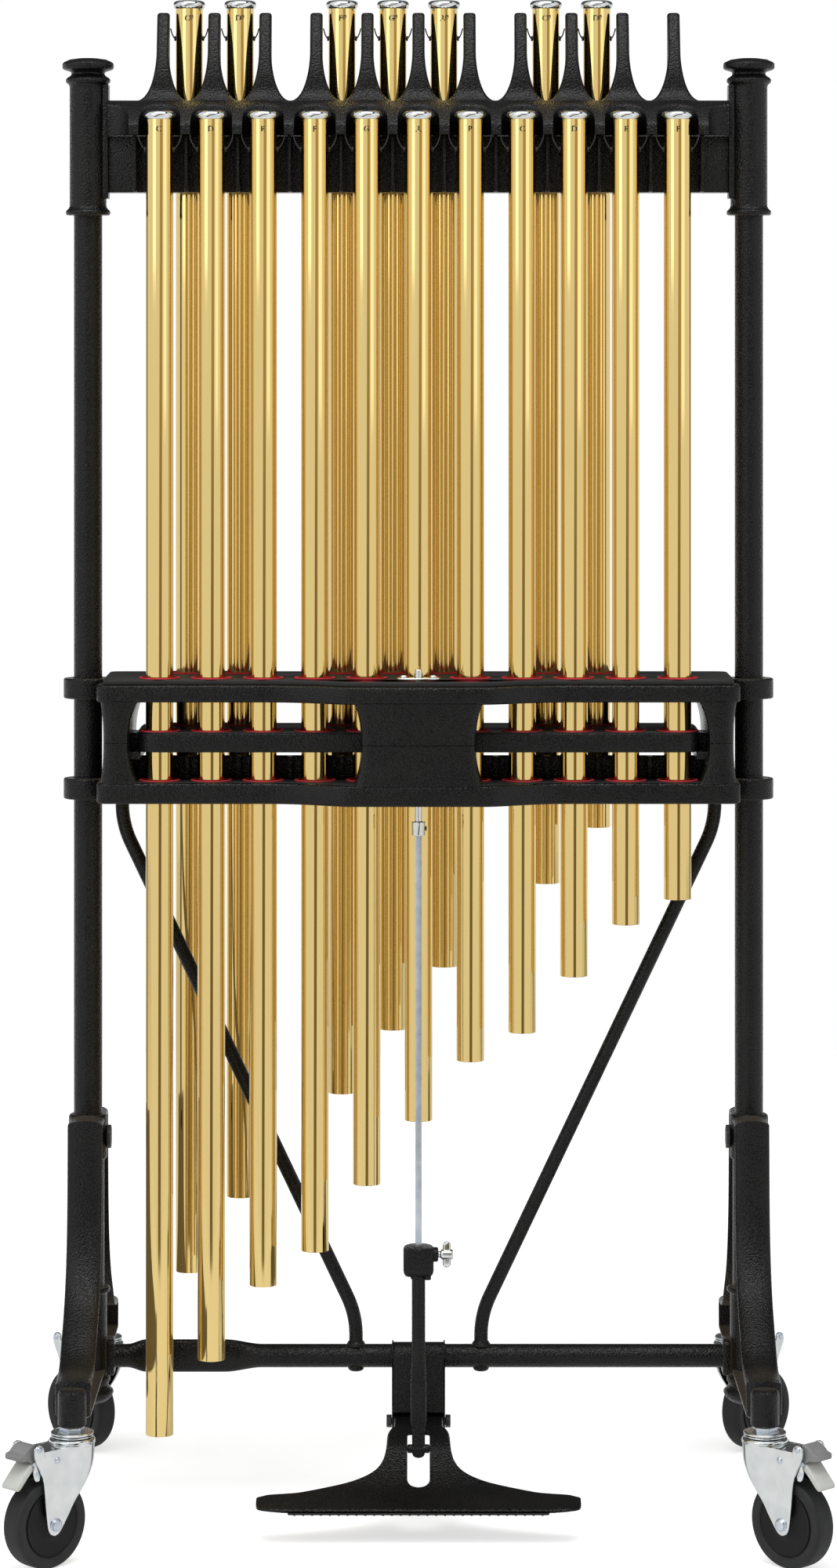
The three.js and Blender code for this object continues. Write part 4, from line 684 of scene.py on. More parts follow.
def deckPart():
    # ring(x): across the deck to the edge of tooth or scallop, down, and back underneath
    x = np.linspace(-rail["end"], rail["end"], 1206)
    pitch, back, low = tubeSet["pitch"], rail["back"], rail["low"]
    near = np.abs((x + pitch / 2) % pitch - pitch / 2)
    arc = tubeSet["naturalY"] + np.sqrt(np.maximum(rail["scallop"] ** 2 - near ** 2, 0))
    edge = np.maximum(np.where(near < rail["scallop"], arc, rail["toothFront"]), rail["toothFront"])
    s = np.linspace(0, 1, 14) ** 0.9
    deckY = back + (edge[:, None] + 2.2 - back) * s
    lipY = edge[:, None] + np.array([0.9, 0.25, 0.0])
    lipZ = deckHeight(edge)[:, None] + np.array([-0.5, -1.4, -2.8])
    lowY = np.stack([edge, edge + 0.8, np.full_like(edge, back)], axis=1)
    lowZ = np.broadcast_to(np.array([low + 0.8, low, low]), lowY.shape)
    y = np.concatenate([deckY, lipY, lowY], axis=1)
    z = np.concatenate([deckHeight(deckY), lipZ, lowZ], axis=1)
    points = np.stack([np.broadcast_to(x[:, None], y.shape), y, z], axis=-1)
    return grid(points, caps=True)


def prongPart():
    # rows over the height: the flank follows the valley's half ellipse, w = 30 - half * cos(a) at
    # z = high + rise * (1 - sin a); the front leans back by lean * t^1.5, and a narrow rib stands behind
    middle, narrow = tubeSet["pitch"] / 2, rail["prongWidth"] / 2
    high, top, stem = pick(rail, "high", "prongTop", "prongBack")
    angle = np.linspace(math.pi / 2, 0, 22)
    valley = high + rail["valleyRise"] * (1 - np.sin(angle))
    tip = [top - 1.6, top - 0.5, top]
    z = np.concatenate([[high - 3], valley, np.linspace(rail["prongStraight"], top - 3, 7), tip])
    wide = np.concatenate([[middle], middle - (middle - narrow) * np.cos(angle), np.full(10, narrow)])
    ease = np.concatenate([np.zeros(len(z) - 3), [0.5, 1.5, 3.0]])
    lean = np.clip((z - rail["leanLow"]) / (top - rail["leanLow"]), 0, 1) ** 1.5
    front = rail["combFront"] + rail["prongLean"] * lean - 7 * np.clip(1 - (z - high) / 16, 0, 1) ** 2
    web = np.maximum(rail["back"], front + 3)
    rows = []
    for height, w, f, b, inset in zip(z, wide, front, web, ease):
        n = min(narrow, w)
        right = np.array([(w, f + 2.5), (w - 2.5, f)])
        stemRing = [(-w, b), (-n, b + 1), (-n, stem - 2), (2 - n, stem), (n - 2, stem), (n, stem - 2), (n, b + 1), (w, b)]
        ring = soften(np.vstack([mirrored(right), stemRing]), 1.2, 3)
        centre = np.array([0, (f + stem) / 2])
        ring = centre + (ring - centre) * (1 - inset / np.maximum(np.abs(ring - centre).max(axis=0), 4))
        rows.append(np.column_stack([ring, np.full(len(ring), height)]))
    return grid(np.array(rows), caps=True)


def buildRail():
    end, low, front, back = pick(rail, "end", "panelLow", "panelFront", "back")
    rib, half, top = rail["ribFront"], rail["ribWidth"] / 2, rail["low"] - 0.3
    prong = prongPart()
    parts = [deckPart()] + [moved(prong, (x, 0, 0)) for x in range(-300, 301, 60)]
    painted("combRail", parts, "comb_rail", sharp=40)
    inner, foot = front + rail["panelWall"], low + rail["panelFoot"]
    wall = soften([(front, low), (back, low), (back, foot), (inner, foot), (inner, top), (front, top)], 1.5)
    ribWall = soften([(rib, low + 10), (rib + 8, low), (front + 1, low), (front + 1, top), (rib, top)], 2)
    thin = plate(ribWall, -half, half, bevel=0.7, facing="side")
    panel = [plate(wall, -end, end, bevel=0.8, facing="side")]
    panel += [moved(thin, (x, 0, 0)) for x in range(-330, 331, 60)]
    painted("railPanel", panel, "rail_panel")


buildRail()
print("rail built")


postSet = {
    "x": 386.0, "radius": 16.5, "wall": 1.5, "low": 160.0, "high": 1640.0, "headLow": 1505.5, "shoulder": 1666.0,
    "sleeve": 21.5, "ring": 26.0, "neck": 19.0, "cap": 30.0, "bore": 16.8,
    "foot": [(0, 119), (14, 119.4), (22, 122.2), (27.6, 127), (30, 132), (29.2, 134.8), (26, 137), (23.6, 140.6),
             (24.2, 143.6), (26, 145.4), (26, 149.6), (24.2, 151.4), (22, 152.6), (22, 247.6), (24, 248.8), (26, 250.4),
             (26, 253.6), (24.6, 255), (16.8, 255), (16.8, 249)],
    "padReach": (17.5, 24.5), "padTall": (1525.0, 1658.0),
}


def headProfile():
    bore, sleeve, ring, neck, cap = pick(postSet, "bore", "sleeve", "ring", "neck", "cap")
    low, top, roof = postSet["headLow"], postSet["shoulder"], postSet["high"] + 0.3
    body = [(bore, low), (ring - 1.2, low), (ring, low + 1.6), (ring, low + 4.6), (ring - 1.6, low + 6.4),
            (sleeve + 1.2, low + 7.6), (sleeve, low + 10.5), (sleeve, top - 10.5), (sleeve + 1.2, top - 7.8),
            (ring - 1.4, top - 6.6), (ring, top - 4.8), (ring, top - 1.8), (ring - 1.8, top), (neck + 1.6, top + 2.2),
            (neck, top + 4.8), (neck + 1.4, top + 6.9), (cap - 2.2, top + 9.2), (cap, top + 10.8), (cap, top + 16.4),
            (cap - 1.8, top + 18.2), (cap * 0.72, top + 21.2)]
    body = soften(body, 1.6, 3, closed=False)
    return np.vstack([[(0, roof), (bore, roof)], body, [(cap * 0.4, top + 22.6), (0, top + 23.0)]])


def buildPosts():
    out, low, high = pick(postSet, "radius", "low", "high")
    into = out - postSet["wall"]
    footProfile = np.vstack([soften(postSet["foot"], 1.2, 3, closed=False), [(postSet["bore"], 159.7), (0, 159.7)]])
    padSpans = (-15.0, 15.0), postSet["padTall"]
    for side, sign in (("left", -1), ("right", 1)):
        x = sign * postSet["x"]
        tube = turned([(into, low), (out, low), (out, high), (into, high)], 64, (x, 0, 0), bored=True)
        painted("post_" + side + "_tube", [tube], "post_" + side, coat=mirrorGlowCoat)
        pad = slab(sorted(x - sign * reach for reach in postSet["padReach"]), *padSpans, 1.2, 1.5, facing="side")
        painted("postHeadCast_" + side, [turned(headProfile(), 72, (x, 0, 0)), pad], "post_head_" + side, sharp=40)
        foot = turned(footProfile, 64, (x, 0, 0))
        painted("postFootCast_" + side, [foot], "post_foot_" + side, coat=mirrorGlowCoat, sharp=40)


buildPosts()
print("posts built")


box = {
    "half": 372.0, "front": -75.0, "back": 84.0, "corner": 14.0, "low": 825.0, "floor": 849.0, "seam": 895.0,
    "ceiling": 942.0, "top": 962.0, "panelTop": 968.0, "panelInset": 7.0, "bulge": -110.0, "bulgeHalf": 76.0,
    "bulgeSpread": 100.0, "hole": 22.0, "ringWidth": 2.0, "endInner": 324.5, "endWaist": 10.0, "endInset": 4.5,
    "endHollow": 3.5, "pillarHalf": 74.5, "pillarWaist": 8.0, "pillarInner": -71.5, "edge": 3.0, "sheetInset": 6.0,
    "seamGap": 0.35, "backStrip": (76.8, 83.7), "ledgeX": (321.5, 350), "ledgeZ": (874.7, 883.7), "divider": (848.5, 875),
    "ribDeep": (-13, -2), "stopX": (328, 338), "stopZ": (882, 903), "clamp": 28.5, "clampTop": 965.5,
}
board = {"corner": 28, "half": 326.5, "front": -68, "back": 76, "low": 884.0, "high": 906.0, "top": 907.0, "ahead": 3.0}


def bezier(a, b, c, d, steps=14):
    # (1-t)^3 a + 3t(1-t)^2 b + 3t^2(1-t) c + t^3 d
    t = np.linspace(0, 1, steps, endpoint=False)[:, None]
    a, b, c, d = (np.array(p, float) for p in (a, b, c, d))
    return (1 - t) ** 3 * a + 3 * t * (1 - t) ** 2 * b + 3 * t ** 2 * (1 - t) * c + t ** 3 * d


def roundCorners(x, front, back, r, steps=6):
    # the two corners on the right, from front to back
    return [cornerArc((x - r, front), (x, front), (x, front + r), steps),
            cornerArc((x, back - r), (x, back), (x - r, back), steps)]


def boxPlan(inset=0.0):
    # plan of the box, counter-clockwise from the front left corner, swelling forward round the rod
    x, front, back = box["half"] - inset, box["front"] + inset, box["back"] - inset
    bulge, wide = box["bulge"] + inset, box["bulgeHalf"] - inset
    start, pull = wide + box["bulgeSpread"], box["bulgeSpread"] / 2
    swelling = bezier((wide, bulge), (wide + pull / 2, bulge), (start - pull, front), (start, front))
    return mirrored(np.vstack([swelling, [[start, front]], *roundCorners(x, front, back, box["corner"])]))


def holeCircles(shift=0.0):
    return [circle(box["hole"], 48, x, y + shift) for _, _, x, y, _, _ in tubePlaces()]


def waist(z):
    # 0 at the plates and 1 at the seam: 1 - |distance from the seam|^2.5
    middle = box["seam"]
    reach = np.where(z < middle, middle - box["floor"], box["ceiling"] - middle)
    return 1 - (np.abs(z - middle) / reach) ** 2.5


def endWall(sign, low, high):
    # rows over the height; the inner edge draws back by the waist, and the outer side draws in by the hollow
    z = np.linspace(low, high, 13)
    x, front, back, inner = box["half"] - box["endInset"], box["front"], box["back"], box["endInner"]
    nearFront, nearBack = roundCorners(x, front, back, box["corner"])
    loop = np.vstack([[(inner, front + 5), (inner + 1.5, front + 1.5), (inner + 5, front)], nearFront,
                      [(x, front + 40), (x, back - 40)], nearBack,
                      [(inner + 5, back), (inner + 1.5, back - 1.5), (inner, back - 5)]])
    near = np.clip((x - 6 - loop[:, 0]) / (x - 14 - inner), 0, 1)
    shift = near * box["endWaist"] - (1 - near) * box["endHollow"]
    return rowsOf(sign * (loop[None, :, 0] + waist(z)[:, None] * shift[None]), loop[None, :, 1], z)


def frontPillar(low, high):
    # rows over the height: half width = pillar half - waist, softened upright edges
    z = np.linspace(low, high, 13)
    half = box["pillarHalf"] - box["pillarWaist"] * waist(z)
    front = box["bulge"]
    side = np.array([(0, box["pillarInner"]), (-1.2, front + 7), (-2.6, front + 3), (-6, front + 0.7), (-11, front)])
    across, deep = np.vstack([side, side[::-1]]).T
    sign = np.repeat([1, -1], len(side))
    return rowsOf(sign[None] * (half[:, None] + across[None]), deep[None], z)


def clampRing(x, low, high):
    bore, out = postSet["bore"], box["clamp"]
    return lathe([(bore, low), (out, low), (out, high), (bore, high)], 2.2, 64, (x, 0, 0), bored=True, steps=4)


def redRings(z, thick, shift=0.0, lining=1.6):
    # a lining inside each hole and a flat lip round it; the moving board's lining is thin, to clear a swinging tube
    inner, foot, outer = box["hole"] - lining, box["hole"] + 0.5, box["hole"] + box["ringWidth"]
    profile = [(inner, z - 3.0), (foot, z - 3.0), (foot, z), (outer, z), (outer, z + thick), (inner, z + thick)]
    return [lathe(profile, 0.5, 40, (x, y + shift, 0), bored=True) for _, _, x, y, _, _ in tubePlaces()]


def buildBox():
    floor, ceiling, top, panelTop = pick(box, "floor", "ceiling", "top", "panelTop")
    under, over = box["seam"] - box["seamGap"], box["seam"] + box["seamGap"]
    lower = [plate(boxPlan(), box["low"], floor, holeCircles(), box["edge"], steps=3)]
    lower += [endWall(sign, floor - 1, under) for sign in (-1, 1)]
    lower += [frontPillar(floor - 1, under), slab((-30, 30), box["backStrip"], (floor - 1, box["seam"] - 0.3))]
    lower += [slab(sorted(sign * x for x in box["ledgeX"]), (-55, 55), box["ledgeZ"]) for sign in (1, -1)]
    lower.append(slab((-334, 334), (-2.5, 2.5), box["divider"], 0.8, 0.8))
    lower += [slab((x - 3.2, x + 3.2), box["ribDeep"], box["divider"], 0.8, 1.2) for x in range(-270, 271, 60)]
    lower += [slab(sorted(sign * x for x in box["stopX"]), (-22, 22), box["stopZ"], 1.0, 1.5) for sign in (-1, 1)]
    painted("damperBoxLowerCast", lower, "damper_box_lower")
    upper = [plate(boxPlan(), ceiling, top, holeCircles(), box["edge"], steps=3)]
    upper += [endWall(sign, over, ceiling + 1) for sign in (-1, 1)]
    upper += [frontPillar(over, ceiling + 1), slab((-30, 30), box["backStrip"], (box["seam"], ceiling + 1))]
    painted("damperBoxUpperCast", upper, "damper_box_upper")
    panel = plate(boxPlan(box["panelInset"]), top - 0.5, panelTop, holeCircles(), 1.4)
    piece("damperBoxTopPanel", [panel], topPanel, "frame", "damper_board", ["damper_box_upper"])
    levels = (box["low"], floor), (ceiling, box["clampTop"])
    painted("postClampRings", [clampRing(x, *level) for x in (-postSet["x"], postSet["x"]) for level in levels])
    piece("redRingsTop", redRings(panelTop, 1.6), redFelt, "frame", "rubber")
    sheet = plate(boxPlan(box["sheetInset"]), floor - 0.5, floor + 0.8, holeCircles(), 0.3)
    piece("damperBoxFloorSheet", [sheet], topPanel, "frame", "damper_board")
    piece("redRingsFloor", redRings(floor + 0.8, 1.4), redFelt, "frame", "rubber")


def buildBoard():
    loop = mirrored(np.vstack(roundCorners(board["half"], board["front"], board["back"], board["corner"], 8)))
    holes = holeCircles(board["ahead"])
    core = plate(loop, board["low"], board["high"], holes, 1.2)
    piece("damperBoard", [core], powderCoat, "damper_plate", "damper_board", ["damper_plate"])
    sheet = plate(loop * [0.9945, 0.973] + [0, 0.1], board["high"] - 0.6, board["top"], holes, 0.4)
    piece("damperBoardSheet", [sheet], topPanel, "damper_plate", "damper_board")
    piece("redRingsBoard", redRings(board["top"], 1.4, board["ahead"], 0.25), redFelt, "damper_plate", "rubber")


buildBox()
buildBoard()
print("damper box built")


rod = {
    "y": -82.0, "radius": 4.0, "top": 981.0, "collarOut": 8.0, "collarLow": 790.0, "collarHigh": 806.0, "bar": 3.75,
    "barLow": 205.0, "guideLow": 968.3, "guideHigh": 971.3, "guideSize": [25, 9.5], "guideBore": 4.6, "screwX": 17,
    "slotHalf": 2.6, "slotWide": 0.5,
}
push = {
    "blockLow": 284.0, "blockHigh": 317.0, "halfX": 17.5, "ahead": 14.0, "behind": 24.0, "radius": 7.75,
    "flatHalf": 9.0, "endHalf": 7.5, "flatThick": 4.5, "tip": 74.5, "pin": 84.6, "wing": 308.0,
    "wingHalf": 15.0, "wingRound": 4.6, "wingThick": 2.6,
}


def flattenedTube():
    # rows down the tube: half width goes from round to flat to the narrower end by smooth steps, then closes
    z = np.concatenate([np.linspace(287, 205, 6), np.linspace(200, 150, 14), np.linspace(145, 122, 4),
                        np.linspace(119, 104, 8), np.linspace(100, 84, 5)])
    turn = np.linspace(0.12, math.pi / 2 - 0.05, 9)
    z = np.concatenate([z, push["tip"] + push["endHalf"] * (1 - np.sin(turn))])
    t, end = smooth((200 - z) / 45), smooth((118 - z) / 12)
    half = push["radius"] + (push["flatHalf"] - push["radius"]) * t + (push["endHalf"] - push["flatHalf"]) * end
    closing = np.clip((push["tip"] + push["endHalf"] - z) / push["endHalf"], 0, 1)
    half = half * np.maximum(1 - closing ** 3.2, 0.004) ** (1 / 2.4)
    thick = (push["radius"] + (push["flatThick"] - push["radius"]) * t) * (1 - 0.35 * closing ** 4)
    angle = np.linspace(0, 2 * math.pi, 32, endpoint=False)
    power = (1 - 0.45 * t)[:, None]
    c, s = np.cos(angle)[None], np.sin(angle)[None]
    x = half[:, None] * np.sign(c) * np.abs(c) ** power
    y = thick[:, None] * np.sign(s) * np.abs(s) ** power
    return rowsOf(x, rod["y"] + y, z)


def roundBar(x0, x1, radius, y, z, chamfer=0.8, sides=24):
    small = radius - chamfer
    profile = [(0, x0), (small, x0), (radius, x0 + chamfer), (radius, x1 - chamfer), (small, x1), (0, x1)]
    return turned(profile, sides, (0, y, z), (1, 0, 0))


def hexHead(x0, x1, across, y, z, ease=0.8):
    # six-sided head along X with eased corners
    return plate(soften(hexagon(across, y, z), 0.8), min(x0, x1), max(x0, x1), bevel=ease, facing="side")


def buildRod():
    y, bar, half, thin = pick(rod, "y", "bar", "slotHalf", "slotWide")
    radius, out, top = pick(rod, "radius", "collarOut", "top")
    low, high = pick(rod, "collarLow", "collarHigh")
    collar = [(radius - 0.1, low), (out, low), (out, high), (radius - 0.1, high)]
    shaft = [(0, high - 1), (radius, high - 1), (radius, top - 1), (radius - 0.8, top), (0, top)]
    parts = [lathe(collar, 1.2, 48, (0, y, 0), bored=True, steps=4), lathe(shaft, 0.3, 32, (0, y, 0))]
    piece("damperRodShaft", parts, brightChrome, "damper_rod", "chrome", ["damper_rod"])
    square = slab((-bar, bar), (y - bar, y + bar), (rod["barLow"], low + 1), 0.4, 0.7)
    piece("damperRodBar", [square], blueZinc, "damper_rod", "zinc")
    painted("collarSetScrew", [roundBar(out - 0.8, out + 1.4, 2.6, y, 798, 0.5)], coat=damperBoard, body="damper_rod")
    oval = plate(circle(1.0, 56) * rod["guideSize"], rod["guideLow"], rod["guideHigh"], [circle(rod["guideBore"], 28)], 0.7)
    head = [(0, 971), (4, 971), (4, 972.4), (3.1, 974), (1.4, 974.3), (0, 974.3)]
    screws = (-rod["screwX"], rod["screwX"])
    guide = [moved(oval, (0, y, 0))] + [lathe(head, 0.5, 28, (x, y, 0)) for x in screws]
    piece("rodGuidePlate", guide, brightChrome, "frame", "chrome", ["rod_guide"])
    # the cross recesses of the guide's screws are painted shade: thin dark bars laid on the chrome heads
    slots = [slab((x - across, x + across), (y - deep, y + deep), (973.9, top), 0.15, 0.3)
             for across, deep, top in ((half, thin, 974.5), (thin, half, 974.45)) for x in screws]
    painted("guideScrewCrossShade", slots, coat=damperBoard)


def clampBlock():
    # rows over the height; the plan is flat in front and round behind, and draws in at the lower end
    y, halfX, front, back = rod["y"], push["halfX"], push["ahead"], push["behind"]
    angle = np.linspace(0, math.pi, 25)
    rear = np.column_stack([halfX * np.cos(angle), y - 2 + (back + 2) * np.sin(angle) ** 0.8])
    nose = cornerArc((-halfX, y - front + 7), (-halfX, y - front), (-halfX + 7, y - front), 7)
    plan = np.vstack([rear, mirrored(nose)])
    low, high = pick(push, "blockLow", "blockHigh")
    z = np.array([low, low + 0.6, low + 2, low + 4, low + 7, high - 1.6, high - 0.9, high - 0.3, high])
    inset = np.array([4.6, 3.2, 1.8, 0.7, 0.0, 0.0, 0.3, 0.9, 1.8])
    centre = np.array([0, y + (back - front) / 2])
    away = plan - centre
    length = np.linalg.norm(away, axis=1, keepdims=True)
    rows = centre + away[None] * (1 - inset[:, None, None] / length[None])
    return rowsOf(rows[:, :, 0], rows[:, :, 1], z)


def wingLoop(start, end):
    # half outline of the wings: a straight flank and a round end, doubled above and below the hub
    angle = np.linspace(0, math.pi, 13)
    middle, wide, ending = (start + end) / 2, (end - start) / 2, push["wingRound"]
    top = np.column_stack([middle + wide * np.cos(angle), push["wingHalf"] - ending + ending * np.sin(angle)])
    return np.vstack([top, (top * [1, -1])[::-1]])


def buildPushTube():
    y, halfX, z, pin, thick = rod["y"], push["halfX"], push["wing"], push["pin"], push["wingThick"]
    parts = [clampBlock(), flattenedTube(), roundBar(halfX - 1.5, halfX + 5.3, 8.4, y, z, 1.4, 36)]
    parts += [roundBar(-17, 17, 3, y, pin, 0.7), roundBar(-12.6, 12.6, 5.0, y, pin, 0.8)]
    parts.append(lathe([(0, 280), (9.4, 280), (9.4, 285), (0, 285)], 1, 32, (0, y, 0)))
    parts.append(lathe([(0, 280.5), (4, 280.5), (4, 286), (0, 286)], 0.8, 20, (10.5, y - 8, 0)))
    painted("pushTubeCast", parts, "push_tube", body="damper_rod", sharp=40)
    socket = slab((-4.4, 4.4), (y - 4.4, y + 4.4), (316.4, 317.25), 0.2, 0.5)
    painted("blockSocketShade", [socket], coat=paintedShadeBlack, body="damper_rod")
    seat = halfX + 5.6
    hub = [(0, 5.5), (3.6, 5.5), (3.6, seat + 2.2), (5.2, seat + 2.4), (6, seat + 4.4), (6, seat + 14.6),
           (5.2, seat + 16.4), (0, seat + 16.4)]
    wings = plate(wingLoop(seat + 4.7, seat + 14.2) + [0, z], y - thick, y + thick, bevel=1.9, facing="front", steps=3)
    bolt = [lathe(hub, 0.8, 32, (0, y, z), (1, 0, 0)), wings]
    piece("wingBoltCast", bolt, brightChrome, "wing_bolt", "chrome", ["wing_bolt"])


buildRod()
buildPushTube()
print("rod and push tube built")


bar = {
    "z": 174.0, "radius": 13.5, "tall": 19.0, "thick": 8.0, "end": 363.7, "flatFrom": -340.0, "flatTo": -196.0,
    "ramp": 44.0, "padThick": 9.0, "padHalf": 17.0, "padTall": 21.0, "padCorner": 9.0,
}
brace = {"x": 73.0, "radius": 8.0, "route": [(73.0, 187.8), (73.0, 222), (346.0, 795), (346.0, 824.7)], "bend": 24}
bracket = {
    "inner": 13.8, "outer": 15.8, "half": 31.0, "sheet": 2.0, "frontLow": 111, "backLow": 88, "boltZ": 97.6,
    "boltAcross": 13.4,
    "cheek": [(-15.8, 114), (-13, 90), (-6, 86.2), (6, 86.2), (15.8, 91), (15.8, 186), (9, 191), (-9, 191), (-15.8, 186)],
}


def buildCrossbar():
    end, z, radius = pick(bar, "end", "z", "radius")
    x = np.concatenate([np.linspace(-end + 2, -170, 64), np.linspace(-160, end - 2, 20)])
    path = np.column_stack([x, np.zeros_like(x), np.full_like(x, z)])
    # t is 0 where the bar is round and 1 where it is pressed flat
    t = smooth(np.minimum((x - bar["flatFrom"]) / (bar["ramp"] * 0.5), (bar["flatTo"] + 14 - x) / bar["ramp"]))
    squash = np.column_stack([1 + t * (bar["tall"] / radius - 1), 1 + t * (bar["thick"] / radius - 1)])
    parts = [piped(path, radius, 48, (0, 1, 0), squash)]
    half, tall = pick(bar, "padHalf", "padTall")
    pad = soften([(-half, z - tall), (half, z - tall), (half, z + tall), (-half, z + tall)], bar["padCorner"], 5)
    for sign in (-1, 1):
        parts.append(plate(pad, *sorted((sign * (end - bar["padThick"]), sign * end)), bevel=2.0, facing="side"))
    painted("crossbarTube", parts, "crossbar", coat=mirrorGlowCoat, sharp=45)


def braceRoute():
    # straight runs joined by quadratic bends
    foot, knee, shoulder, head = (np.array([x, 0, z]) for x, z in brace["route"])
    along = (shoulder - knee) / np.linalg.norm(shoulder - knee)
    up, bend = np.array([0, 0, 1.0]), brace["bend"]
    run = np.linspace(0.04, 0.96, 14)[:, None]
    first = cornerArc(knee - up * bend, knee, knee + along * bend, 12)
    last = cornerArc(shoulder - along * bend, shoulder, shoulder + up * bend, 12)
    return np.vstack([[foot], first, first[-1] + run * (last[0] - first[-1]), last, [head]])


def buildBraces():
    collar = [(7, 185.5), (11.5, 185.5), (10.6, 188.6), (8.6, 191.5), (7, 192)]
    nut = [(0, 156.2), (5.5, 156.4), (8.2, 157.4), (9.6, 160.2), (9.6, 163), (0, 163)]
    for side, sign in (("left", -1), ("right", 1)):
        foot = (sign * brace["x"], 0, 0)
        parts = [piped(braceRoute() * [sign, 1, 1], brace["radius"], 32), lathe(collar, 1.4, 36, foot, bored=True),
                 lathe(nut, 1.4, 32, foot)]
        painted("braceTube_" + side, parts, "brace_" + side, coat=mirrorGlowCoat, sharp=45)


def buildBracket():
    inner, outer, half, z = pick(bracket, "inner", "outer", "half", "boltZ")
    angle = np.linspace(0, math.pi, 25)
    arch = np.column_stack([np.cos(angle), np.sin(angle)])
    out, into = arch * outer + [0, bar["z"]], (arch * inner + [0, bar["z"]])[::-1]
    front, back = pick(bracket, "frontLow", "backLow")
    saddle = np.vstack([[(outer, back)], out, [(-outer, front), (-inner, front)], into, [(inner, back)]])
    parts = [plate(saddle, -half, half, bevel=0.5, facing="side")]
    cheek = soften(bracket["cheek"], 5, 4)
    for sign in (-1, 1):
        parts.append(plate(cheek, *sorted((sign * (half - bracket["sheet"]), sign * half)), bevel=0.5, facing="side"))
    painted("pedalBracketSheet", parts, "pedal_bracket", sharp=40)
    heads = [hexHead(sign * 31.3, sign * 37.4, bracket["boltAcross"], 0, z) for sign in (1, -1)]
    piece("pedalPivotBolt", heads + [roundBar(-33, 33, 4, 0, z)], blackBolt, "frame", "zinc", ["pedal_pivot"], sharp=30)


buildCrossbar()
buildBraces()
buildBracket()
print("crossbar, braces and bracket built")


pedalSet = {
    "reach": 192.0, "half": 184.0, "neck": 35.0, "pivot": 97.6, "edge": 2.2, "slotHalf": 12.8, "slotNose": -127.2,
    "slotBack": -58, "hubHalf": 28.4, "hubRadius": 8.4, "treadHalf": 148, "treadDeep": 24, "treadThick": 4, "groove": 1.2,
    "flare": [
        (0.1, -0.0443), (0.24, -0.0443), (0.29, -0.006), (0.34, 0.006), (0.44, 0.014), (0.494, 0.028), (0.545, 0.058),
        (0.58, 0.094), (0.619, 0.155), (0.655, 0.236), (0.69, 0.345), (0.729, 0.505), (0.765, 0.656), (0.783, 0.74),
        (0.795, 0.85), (0.804, 0.95), (0.813, 0.99), (0.83, 1.0), (0.9, 1.0), (0.95, 0.985), (0.975, 0.95), (0.99, 0.89),
        (1.0, 0.8),
    ],
    "side": [
        (0.1, 1.091, 1.04), (0.208, 1.07, 1.02), (0.302, 1.02, 0.968), (0.427, 0.922, 0.871), (0.521, 0.794, 0.743),
        (0.625, 0.661, 0.61), (0.729, 0.558, 0.512), (0.8, 0.512, 0.455), (0.84, 0.494, 0.4), (0.97, 0.44, 0.39),
        (1, 0.426, 0.39),
    ],
}


def throughPoints(table, column, at):
    # monotone cubic through the table's points: Hermite, with the harmonic mean 2ab/(a+b) of the slopes beside a point
    table = np.array(table, float)
    x, y = table[:, 0], table[:, column]
    slope = np.diff(y) / np.diff(x)
    before, after = slope[:-1], slope[1:]
    same = before * after > 0
    gentle = np.where(same, 2 * before * after / np.where(same, before + after, 1), 0)
    m = np.concatenate([[slope[0]], gentle, [slope[-1]]])
    i = np.clip(np.searchsorted(x, at, side="right") - 1, 0, len(x) - 2)
    h = x[i + 1] - x[i]
    t = np.clip((at - x[i]) / h, 0, 1)
    return ((2 * t ** 3 - 3 * t ** 2 + 1) * y[i] + (t ** 3 - 2 * t ** 2 + t) * h * m[i]
            + (3 * t ** 2 - 2 * t ** 3) * y[i + 1] + (t ** 3 - t ** 2) * h * m[i + 1])


def pedalPlate():
    # rows along the reach; each row runs across the top and back underneath, with eased edges
    reach = np.concatenate([np.linspace(0.1, 0.76, 56), np.linspace(0.766, 0.84, 22), np.linspace(0.85, 0.97, 12),
                            np.linspace(0.974, 1.0, 10)])
    y = -reach * pedalSet["reach"]
    half = pedalSet["neck"] + throughPoints(pedalSet["flare"], 1, reach) * (pedalSet["half"] - pedalSet["neck"])
    top, low = (throughPoints(pedalSet["side"], column, reach)[:, None] * pedalSet["pivot"] for column in (1, 2))
    edge = pedalSet["edge"]
    across = half[:, None] * np.linspace(-1, 1, 41)[None]
    near = np.clip((half[:, None] - np.abs(across)) / edge, 0, 1)
    ease = edge * (1 - np.sqrt(np.maximum(1 - (1 - near) ** 2, 0)))
    front = np.clip((reach - 0.99) / 0.01, 0, 1)[:, None]
    above = top - ease - 1.3 * front ** 2
    below = low + ease * 0.5 + 0.5 * front ** 2
    x = np.concatenate([across, across[:, ::-1]], axis=1)
    z = np.concatenate([above, below[:, ::-1]], axis=1)
    rows = np.stack([x, np.broadcast_to(y[:, None], x.shape), z], axis=-1)
    return grid(rows, caps=True)


